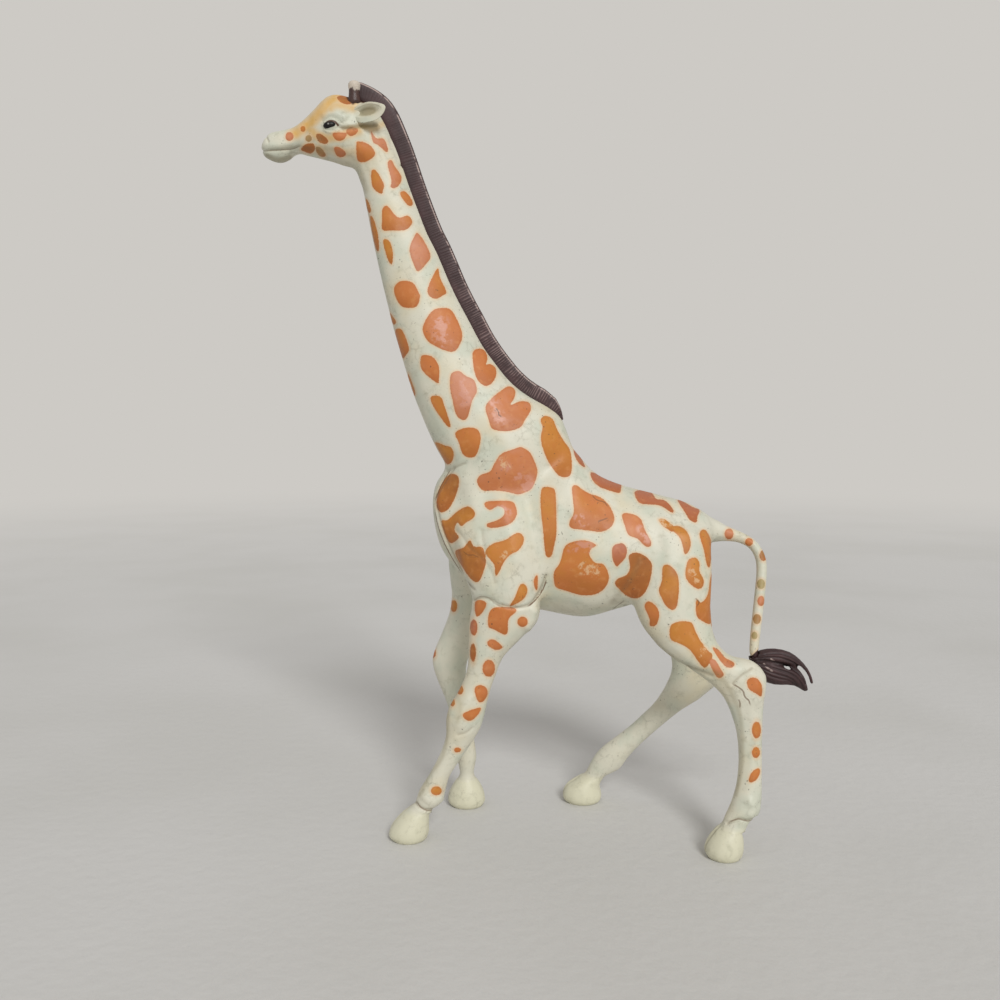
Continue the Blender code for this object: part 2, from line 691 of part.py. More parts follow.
def make_giraffe():
    torso = loft("torso", smooth(trunk_sections(BARREL_SHARES, body_point, BODY_WIDTH)), "ivory",
                 taper_share=BARREL_TAPER_SHARE)
    neck_rows = smooth(trunk_sections(NECK_ROOT_SHARES + NECK_SHARES, neck_point, NECK_WIDTH))
    neck_form = {"taper_share": NECK_TAPER_SHARE}
    neck_outer = fuse_root(torso, "neck", neck_rows, len(NECK_ROOT_SHARES), 1, **neck_form)
    tail_form = {"sides": TAIL_SIDES}
    tail_outer = fuse_root(torso, "tail", tail_sections(), len(TAIL_ROOT_SHARES), -1, **tail_form)
    leg_form = {"sides": LIMB_SIDES}
    legs = []
    for name, (side, place_share, shares, seam_row, hoof_share) in LEG_PLACE_SHARES.items():
        sections = leg_sections(side, place_share, shares)
        legs.append((name, fuse_root(torso, name, sections, seam_row, -1, **leg_form), hoof_share))
    clear_limb(torso, "neck", neck_outer, 1, **neck_form)
    clear_limb(torso, "tail", tail_outer, -1, **tail_form)
    neck = make_neck(neck_outer)
    make_tail(tail_outer)
    for name, sections, hoof_share in legs:
        clear_limb(torso, name, sections, -1, **leg_form)
        make_leg(name, sections, hoof_share)
    head, head_rows = make_head(neck_rows[-1])
    socket(head, "head_socket", neck_rows[-1], 1, **neck_form)
    make_mane(neck_rows[len(NECK_ROOT_SHARES) * STEPS:], head_rows, [torso, neck, head])
    for name, side in (("left", LEFT), ("right", RIGHT)):
        make_ear(f"{name}_ear", side, head)
        make_ossicone(f"{name}_ossicone", side, head)
        make_eye(f"{name}_eye", side, head)
    centre_on_origin()


for old in list(bpy.data.objects):
    bpy.data.objects.remove(old)
make_giraffe()
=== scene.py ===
"""A toy giraffe of moulded PVC, walking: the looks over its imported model."""

from math import ceil, pi

import bmesh
import bpy
import numpy as np
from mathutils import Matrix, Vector
from mathutils.bvhtree import BVHTree


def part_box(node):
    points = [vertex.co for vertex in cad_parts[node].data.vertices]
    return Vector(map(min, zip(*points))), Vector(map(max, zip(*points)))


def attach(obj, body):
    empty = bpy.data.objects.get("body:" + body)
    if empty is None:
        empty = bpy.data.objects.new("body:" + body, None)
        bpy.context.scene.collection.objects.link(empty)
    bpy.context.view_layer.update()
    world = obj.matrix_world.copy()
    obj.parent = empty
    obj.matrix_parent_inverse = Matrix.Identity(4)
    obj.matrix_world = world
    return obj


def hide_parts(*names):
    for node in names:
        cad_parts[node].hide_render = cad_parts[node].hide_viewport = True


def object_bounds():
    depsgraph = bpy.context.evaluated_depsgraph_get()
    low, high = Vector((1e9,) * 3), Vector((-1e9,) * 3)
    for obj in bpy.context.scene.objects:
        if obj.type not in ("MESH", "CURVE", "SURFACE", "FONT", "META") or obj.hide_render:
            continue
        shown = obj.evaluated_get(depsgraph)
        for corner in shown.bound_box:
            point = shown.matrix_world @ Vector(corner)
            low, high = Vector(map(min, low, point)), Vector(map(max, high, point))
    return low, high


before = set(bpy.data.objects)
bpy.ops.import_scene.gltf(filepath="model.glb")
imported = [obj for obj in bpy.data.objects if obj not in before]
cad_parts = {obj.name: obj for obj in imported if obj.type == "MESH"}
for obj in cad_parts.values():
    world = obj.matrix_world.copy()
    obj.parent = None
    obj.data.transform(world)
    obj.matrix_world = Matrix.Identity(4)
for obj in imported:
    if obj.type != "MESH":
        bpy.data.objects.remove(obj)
bpy.context.view_layer.update()
cad_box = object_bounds()

# The photograph was taken level with the withers, from the figure's left side. Places on the
# figure are read as pixels of that picture, and a point of the right side is read as its mirror
# image on the left, since both halves of the mould carry the same work.
CAMERA_PLACE = Vector((-0.0078868, -0.219274, 0.0948))
FOCAL_PIXELS = 916.67
PICTURE_MIDDLE = np.array((500, 430))
MIDDLE = 0.000726


def new_object(name, data):
    made = bpy.data.objects.new(name, data)
    bpy.context.scene.collection.objects.link(made)
    return made


camera_data = bpy.data.cameras.new("picture_camera")
camera_data.lens = 33
camera_data.sensor_width = 36
camera_data.shift_y = -0.07
camera_data.clip_start = 0.01
camera = new_object("picture_camera", camera_data)
camera.location = CAMERA_PLACE
camera.rotation_euler = (pi / 2, 0, 0)
bpy.context.scene.camera = camera


def pixels_of(places, mirrored=True):
    """Pixels of points in the picture, as a rule with the figure's right half mirrored to the left."""
    depth = (MIDDLE - np.abs(places[:, 1] - MIDDLE) if mirrored else places[:, 1]) - CAMERA_PLACE.y
    across = (places[:, 0] - CAMERA_PLACE.x) / depth
    down = (CAMERA_PLACE.z - places[:, 2]) / depth
    return PICTURE_MIDDLE + FOCAL_PIXELS * np.column_stack((across, down))


def at_pixel(column, row, y=MIDDLE):
    """The point of the picture's pixel at a depth y."""
    depth = (y - CAMERA_PLACE.y) / FOCAL_PIXELS
    return Vector((CAMERA_PLACE.x + (column - PICTURE_MIDDLE[0]) * depth, y,
                   CAMERA_PLACE.z + (PICTURE_MIDDLE[1] - row) * depth))


# The skin: body, neck, head, limbs and tail were moulded together in soft ivory PVC, in a mould of
# two halves that met on the middle plane. The solids of the frame are run together over their
# narrow gaps into one skin, smoothed, and carved as the mould was.
JOINT_FILL = 0.00018
MANE_LINE = (562.1, 420.2, 555.5, 412.5, 548.2, 407, 540, 402, 531.3, 397.4, 523, 392.2, 515.6, 386,
             508.5, 379, 502.4, 371.8, 490.6, 356.3, 480.1, 340, 471, 322.8, 461.7, 305.6, 453.1, 288.2,
             445.5, 270.3, 437.8, 252.4, 429.2, 235, 422, 216.9, 415.2, 198.7, 408.7, 180.3, 402.6, 161.8,
             395.3, 143.8, 387.2, 126.1, 382.3, 117.6, 376.4, 110, 368.8, 104, 360.2, 99.6)
# How far the facets of each part are rounded off, in metres
SOFTNESS = {"torso": 0.0019, "neck": 0.0014, "head": 0.0006, "hoof": 0.0009, "leg": 0.0009,
            "tail": 0.0004, "tuft": 0.00024, "mane": 0.0014, "eye": 0.0006, "ear": 0.0006,
            "ossicone": 0.0006}
SETTLE_SHARE = 0.6
SHELL_SHARE = 1 / 40
CROWN_HEIGHT = 0.1728
EAR_ROOT = Vector((-0.0405, 0.0048, 0))


def rounded(points, closed=False, steps=4):
    """Points on a smooth curve through listed pixels, given as columns and rows in turn."""
    points = np.reshape(points, (-1, 2)).astype(float)
    if closed:
        ends = np.vstack((points[-1:], points, points[:2]))
    else:
        ends = np.vstack((points[:1], points, points[-1:]))
    result = []
    for before, start, end, after in zip(ends, ends[1:], ends[2:], ends[3:]):
        for share in np.arange(steps) / steps:
            bend = 3 * (start - end) + after - before
            curve = 2 * before - 5 * start + 4 * end - after
            result.append(start + (end - before + (curve + bend * share) * share) * share / 2)
    return np.array(result if closed else result + [points[-1]])


def mesh_of(name, shell):
    """A mesh with a shell's faces. The shell is freed."""
    mesh = bpy.data.meshes.new(name)
    shell.to_mesh(mesh)
    shell.free()
    return mesh


mane_line = [at_pixel(*pixel) for pixel in rounded(MANE_LINE)]


def fill_bed(name, solid):
    """Cut a solid back so that it only fills its own bed in the skin."""
    for vert in solid.verts:
        if name == "mane":
            near = min(range(1, len(mane_line) - 1), key=lambda spot: (mane_line[spot] - vert.co).length)
            along = (mane_line[near + 1] - mane_line[near - 1]).normalized()
            outward = Vector((-along.z, 0, along.x))
            outward *= 1 if outward.x + outward.z > 0 else -1
            vert.co -= outward * max((vert.co - mane_line[near]).dot(outward) - JOINT_FILL, 0)
        elif "ossicone" in name:
            vert.co.z = min(vert.co.z, CROWN_HEIGHT)
        elif "ear" in name:
            vert.co.x = min(vert.co.x, EAR_ROOT.x)
            vert.co.y = MIDDLE + max(-EAR_ROOT.y, min(EAR_ROOT.y, vert.co.y - MIDDLE))


class Skin:
    """Solids of the frame run together as one closed skin, for smoothing and carving."""

    def __init__(self, names, fills, grain, wanted, cutter=None):
        self.grain = grain * 1
        run = bmesh.new()
        owners = []
        for name in names + fills:
            solid = bmesh.new()
            solid.from_mesh(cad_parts[name].data)
            bmesh.ops.remove_doubles(solid, verts=solid.verts, dist=0.000001)
            if name in fills:
                fill_bed(name, solid)
            solid.normal_update()
            for vert in solid.verts:
                vert.co += vert.normal * JOINT_FILL
            owners += [name] * len(solid.faces)
            filled = mesh_of("filled", solid)
            run.from_mesh(filled)
            bpy.data.meshes.remove(filled)
        tree = BVHTree.FromBMesh(run)
        self.mesh = self.closed_skin(run, wanted, cutter)
        self.edges = np.empty(len(self.mesh.edges) * 2, int)
        self.mesh.edges.foreach_get("vertices", self.edges)
        self.edges = self.edges.reshape(-1, 2)
        self.count = np.bincount(self.edges.ravel(), minlength=len(self.mesh.vertices))[:, None]
        self.owner = np.array([owners[tree.find_nearest(place)[2]] for place in map(Vector, self.places())])
        self.layers = {"crease": np.zeros(len(self.owner))}

    def closed_skin(self, run, wanted, cutter):
        """Remesh the solids at the skin's grain, and keep the outer surface where it is wanted."""
        piece = new_object("run", mesh_of("run", run))
        if cutter:
            cut = piece.modifiers.new("cut", "BOOLEAN")
            cut.operation, cut.solver, cut.object = "DIFFERENCE", "EXACT", cutter
            cut.use_self = True
        remesh = piece.modifiers.new("skin", "REMESH")
        remesh.mode = "VOXEL"
        remesh.voxel_size = self.grain
        graph = bpy.context.evaluated_depsgraph_get()
        skin = bpy.data.meshes.new_from_object(piece.evaluated_get(graph), depsgraph=graph)
        bpy.data.objects.remove(piece)
        shell = bmesh.new()
        shell.from_mesh(skin)
        unwanted = [vert for vert in shell.verts if not wanted(vert.co)]
        bmesh.ops.delete(shell, geom=unwanted, context="VERTS")
        loose = set(shell.verts)
        shells = []
        while loose:
            found = [loose.pop()]
            for vert in found:
                for edge in vert.link_edges:
                    other = edge.other_vert(vert)
                    if other in loose:
                        loose.discard(other)
                        found.append(other)
            shells.append(found)
        least = max(map(len, shells)) * SHELL_SHARE
        inner = [vert for found in shells if len(found) < least for vert in found]
        bmesh.ops.delete(shell, geom=inner, context="VERTS")
        shell.to_mesh(skin)
        shell.free()
        return skin

    def part(self, word):
        """Which vertices belong to solids with a word in their names."""
        return np.char.find(self.owner, word) >= 0

    def places(self):
        result = np.empty(len(self.mesh.vertices) * 3)
        self.mesh.vertices.foreach_get("co", result)
        return result.reshape(-1, 3)

    def move(self, places):
        self.mesh.vertices.foreach_set("co", places.ravel())
        self.mesh.update()

    def normals(self):
        result = np.empty(len(self.mesh.vertices) * 3)
        self.mesh.vertex_normals.foreach_get("vector", result)
        return result.reshape(-1, 3)

    def spread(self, values, share, rounds):
        """Draw each value towards the mean of its neighbours."""
        for _ in range(rounds):
            others = values[self.edges[:, ::-1]]
            mean = np.column_stack([np.bincount(self.edges.ravel(), others[:, :, axis].ravel())
                                    for axis in range(values.shape[1])]) / self.count
            values = values + share * (mean - values)
        return values

    def settle(self):
        """Round off the facets, each part by its own softness, and give back the lost girth."""
        reach = np.empty((len(self.owner), 1))
        for word, softness in SOFTNESS.items():
            reach[self.part(word)] = softness
        reach = self.spread(reach, SETTLE_SHARE, ceil(4 * (SOFTNESS["head"] / self.grain) ** 2))
        rounds = ceil(2 * reach.max() ** 2 / (SETTLE_SHARE * self.grain ** 2))
        share = 2 * reach ** 2 / (rounds * self.grain ** 2)
        places = self.places()
        soft = self.spread(places, share, rounds)
        self.move(soft + self.spread(places - soft, share, rounds))
        self.move(self.places() - self.normals() * JOINT_FILL)


LEGS = [f"{side}_{end}_leg" for side in ("left", "right") for end in ("fore", "hind")]
HOOVES = [name.replace("leg", "hoof") for name in LEGS]
trunk = Skin(["torso", "neck", "head", "tail"] + LEGS, ["mane"], 0.00040,
             lambda place: 0.040 < place.z < 0.162 and place.x < 0.05)
limbs = Skin(["torso", "tail"] + LEGS + HOOVES, [], 0.00028,
             lambda place: place.z < 0.0585 or place.x > 0.0405)
face = Skin(["head", "neck"], ["mane", "left_ear", "right_ear", "left_ossicone", "right_ossicone",
                               "left_eye", "right_eye"], 0.0002, lambda place: place.z > 0.148)
SKINS = (trunk, limbs, face)
for skin in SKINS:
    skin.settle()


# The carving: the mould was cut with a parting line, folds of the hide, the bones of the legs and
# the lines of the face. Each is a soft furrow or ridge along a line of the picture.
def line_distance(pixels, line):
    """The distance of each pixel from a line of points."""
    best = np.full(len(pixels), 1e9)
    for start, end in zip(line, line[1:]):
        along = end - start
        share = np.clip((pixels - start) @ along / (along @ along + 1e-9), 0, 1)
        best = np.minimum(best, np.linalg.norm(pixels - start - share[:, None] * along, axis=1))
    return best


def near_line(skin, points, width, sides, names):
    """How near each vertex is to a line of the picture, 1 on it and 0 a few widths away."""
    line = rounded(points)
    result = np.zeros(len(skin.owner))
    box = (skin.pixels > line.min(0) - 3 * width) & (skin.pixels < line.max(0) + 3 * width)
    chosen = box.all(1) & (skin.seen > 0) & np.isin(skin.side, sides)
    if names:
        chosen &= skin.part(names)
    chosen = np.flatnonzero(chosen)
    result[chosen] = np.exp(-(line_distance(skin.pixels[chosen], line) / width) ** 2) * skin.seen[chosen]
    return result * (np.clip(skin.facing * FACING_SLOPE, 0, 1) if names == "torso" else 1)


LEFT, RIGHT, BOTH = (-1,), (1,), (-1, 1)
# Each line: width in pixels, depth in millimetres and below 0 for a ridge, sides, piece, pixels
CARVED_LINES = (
    # the folds of the chest and the point of the shoulder
    (1.6, 0.35, BOTH, "torso", 453, 469, 446, 479, 438.5, 491, 433.5, 500),
    (1.4, 0.3, BOTH, "torso", 436, 505, 441, 525, 449, 546, 459, 566, 466, 580, 474, 590),
    (2.2, 0.3, BOTH, "torso", 447, 471, 455, 467, 465, 463),
    (9.0, -0.55, BOTH, "torso", 466, 480, 470, 492, 474, 503),
    (2.5, 0.22, BOTH, "torso", 456, 530, 463, 537, 470, 548, 484, 560, 492, 572, 495, 583),
    (3.0, 0.2, BOTH, "torso", 482, 530, 484, 545, 487, 556),
    # the shoulder blade, the upper arm and the elbow
    (6.0, 0.16, BOTH, "torso", 530, 505, 532, 525, 531, 545, 536, 562),
    (8.0, -0.35, BOTH, "torso", 500, 500, 508, 525, 516, 560),
    (2.0, 0.5, BOTH, "", 546, 576, 543.5, 586, 538, 596, 530, 605, 516, 608, 502, 605.5),
    (2.0, 0.35, BOTH, "", 500, 606, 492, 600, 482, 597.5, 474, 600),
    (5.0, -0.75, LEFT, "", 534, 612, 532, 619, 527, 626),
    # the ribs, the flank and the hip
    (5.0, 0.12, BOTH, "torso", 566, 500, 564, 530, 560, 560),
    (6.0, 0.22, BOTH, "torso", 612, 602, 622, 592, 632, 578, 640, 560),
    (7.0, -0.25, BOTH, "torso", 660, 520, 668, 545, 668, 575),
    (4.0, 0.18, BOTH, "torso", 684, 560, 682, 585, 676, 605),
    # the near fore leg: the forearm, the knee, the shin and the fetlock
    (5.0, 0.14, LEFT, "fore_leg", 495, 640, 490, 665, 482, 688),
    (5.0, -0.3, LEFT, "fore_leg", 468, 700, 462, 712, 458, 724),
    (2.0, 0.22, LEFT, "fore_leg", 458, 735, 466, 733, 472, 728),
    (4.0, 0.12, LEFT, "fore_leg", 463, 738, 456, 752, 450, 766, 446, 778),
    (4.5, -0.38, LEFT, "fore_leg", 425, 797, 432, 802, 439, 799),
    (1.7, 0.38, LEFT, "fore", 413, 799, 419, 806.5, 427, 810.5, 436, 809, 443, 803),
    # the far fore leg
    (3.0, 0.2, RIGHT, "fore_leg", 455, 610, 452, 640, 455, 670),
    # the near hind leg: the thigh, the hock, the cannon and the fetlock
    (2.6, 0.3, LEFT, "", 672, 664, 690, 668, 712, 676),
    (2.2, 0.3, LEFT, "hind_leg", 752, 668, 741, 676, 733, 684),
    (5.0, -0.35, LEFT, "hind_leg", 751, 672, 757, 684, 756, 700),
    (4.0, 0.12, LEFT, "hind_leg", 745, 708, 748, 735, 747, 765, 743, 790),
    (4.5, -0.45, LEFT, "hind_leg", 750, 802, 754, 809, 751, 814),
    (1.7, 0.45, LEFT, "hind", 727, 823, 738, 819, 748, 821, 757, 818),
    (4.0, 1.0, LEFT, "hind", 754, 826, 751, 832),
    # the far hind leg
    (2.5, 0.25, RIGHT, "hind_leg", 670, 690, 655, 705, 640, 720),
    (4.0, -0.25, RIGHT, "hind_leg", 612, 760, 604, 768, 597, 774),
    # the face: nose, nostril, mouth, lips, brow, lids, cheek and the fold under the ear
    (4.0, -0.22, BOTH, "head", 300, 128, 313, 117, 324, 106),
    (1.0, 0.3, BOTH, "head", 266.5, 137.5, 268.5, 142),
    (1.4, 0.24, BOTH, "head", 262, 151, 272, 150.5, 283, 150, 293, 149, 299, 146.5),
    (3.6, -0.25, BOTH, "head", 268, 154, 277, 157, 287, 156),
    (3.0, -0.22, BOTH, "head", 266, 145, 278, 145, 290, 143),
    (3.4, -0.4, BOTH, "head", 325, 115.5, 334, 113, 344, 117),
    (1.3, 0.2, BOTH, "head", 322.5, 121, 330, 117.2, 337, 118.8, 342, 123),
    (1.4, -0.16, BOTH, "head", 323, 124.5, 326, 120.5, 331, 118.6, 336, 120, 340, 124),
    (1.4, -0.18, BOTH, "head", 325, 130, 329, 132.2, 334, 132.2, 339, 129.5),
    (2.4, 0.24, BOTH, "head", 339, 127, 346, 128, 354, 127, 362, 125, 371, 125.5, 378, 124),
    (7.0, -0.3, BOTH, "head", 340, 143, 352, 149, 362, 150),
    (2.5, 0.18, BOTH, "head", 303, 150, 318, 152, 334, 158),
)
# A line fades where the hide turns from the side view, and only deep furrows are darkened, with grime and
# painted shade
SEEN_SLOPE = 0.6
FACING_SLOPE = 2.5
GRIME_AND_SHADE_DEPTH, FULL_GRIME_AND_SHADE_DEPTH = 0.19, 0.35
PARTING_HEIGHT = 0.00007
PARTING_WIDTH = 0.00028
for skin in SKINS:
    places, normals = skin.places(), skin.normals()
    skin.pixels = pixels_of(places)
    skin.side = np.sign(places[:, 1] - MIDDLE)
    skin.facing = normals[:, 1] * skin.side
    skin.seen = np.clip((skin.facing + SEEN_SLOPE) * 2, 0, 1)
    lift = np.zeros(len(places))
    for width, depth, sides, names, *points in CARVED_LINES:
        near = near_line(skin, points, width, sides, names)
        lift -= near * depth / 1000
        # a deep furrow gets grime and painted shade in the crease layer
        if depth > GRIME_AND_SHADE_DEPTH:
            grime_and_shade = near ** 2 * min(depth / FULL_GRIME_AND_SHADE_DEPTH, 1)
            skin.layers["crease"] = np.maximum(skin.layers["crease"], grime_and_shade)
    parting = np.exp(-((places[:, 1] - MIDDLE) / PARTING_WIDTH) ** 2)
    parting *= np.isin(skin.owner, ("torso", "neck", "head"))
    lift += parting * PARTING_HEIGHT
    skin.move(np.clip(places + normals * lift[:, None], *cad_box))

# The hooves: cream, each with a flat sole, a furrow at the toe between its two halves and a groove
# round the coronet, where the pastern enters it.
TOE_FURROW, TOE_FURROW_WIDTH = 0.0004, 0.00035
CORONET_HEIGHT, CORONET_WIDTH, CORONET_SHARE = 0.0068, 0.0005, 0.3
SOLE_BAND = 0.0003
# Each hoof's forward lean at the sole in metres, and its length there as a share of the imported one
HOOF_STANCE = {"left_fore_hoof": (0.0019, 0.98), "right_fore_hoof": (0, 1),
               "left_hind_hoof": (0.0014, 0.9), "right_hind_hoof": (0.0007, 1.06)}
places = limbs.places()
lift = np.zeros(len(places))
for name in HOOVES:
    low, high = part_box(name)
    chosen = (limbs.owner == name)
    toe = np.clip(((low.x + high.x) / 2 - places[:, 0]) / (high.x - low.x) * 4, 0, 1)
    furrow = np.exp(-((places[:, 1] - (low.y + high.y) / 2) / TOE_FURROW_WIDTH) ** 2) * toe
    coronet = np.exp(-((places[:, 2] - CORONET_HEIGHT) / CORONET_WIDTH) ** 2) * CORONET_SHARE
    lift[chosen] -= (np.maximum(furrow, coronet) * TOE_FURROW)[chosen]
    # the toe furrow is darkened too, with grime and painted shade
    limbs.layers["crease"][chosen] = np.maximum(limbs.layers["crease"], furrow * 0.8)[chosen]
    lean, length = HOOF_STANCE[name]
    lowness = np.clip(1.15 - places[:, 2] / CORONET_HEIGHT, 0, 1)[chosen] ** 0.8
    middle = (low.x + high.x) / 2
    places[chosen, 0] += ((places[chosen, 0] - middle) * (length - 1) - lean) * lowness
places += limbs.normals() * lift[:, None]
# the lowest band is pressed down to a flat sole
heights = places[:, 2]
places[:, 2] = np.where(heights < SOLE_BAND, np.maximum(heights * 2 - SOLE_BAND, 0), heights)
limbs.move(places)

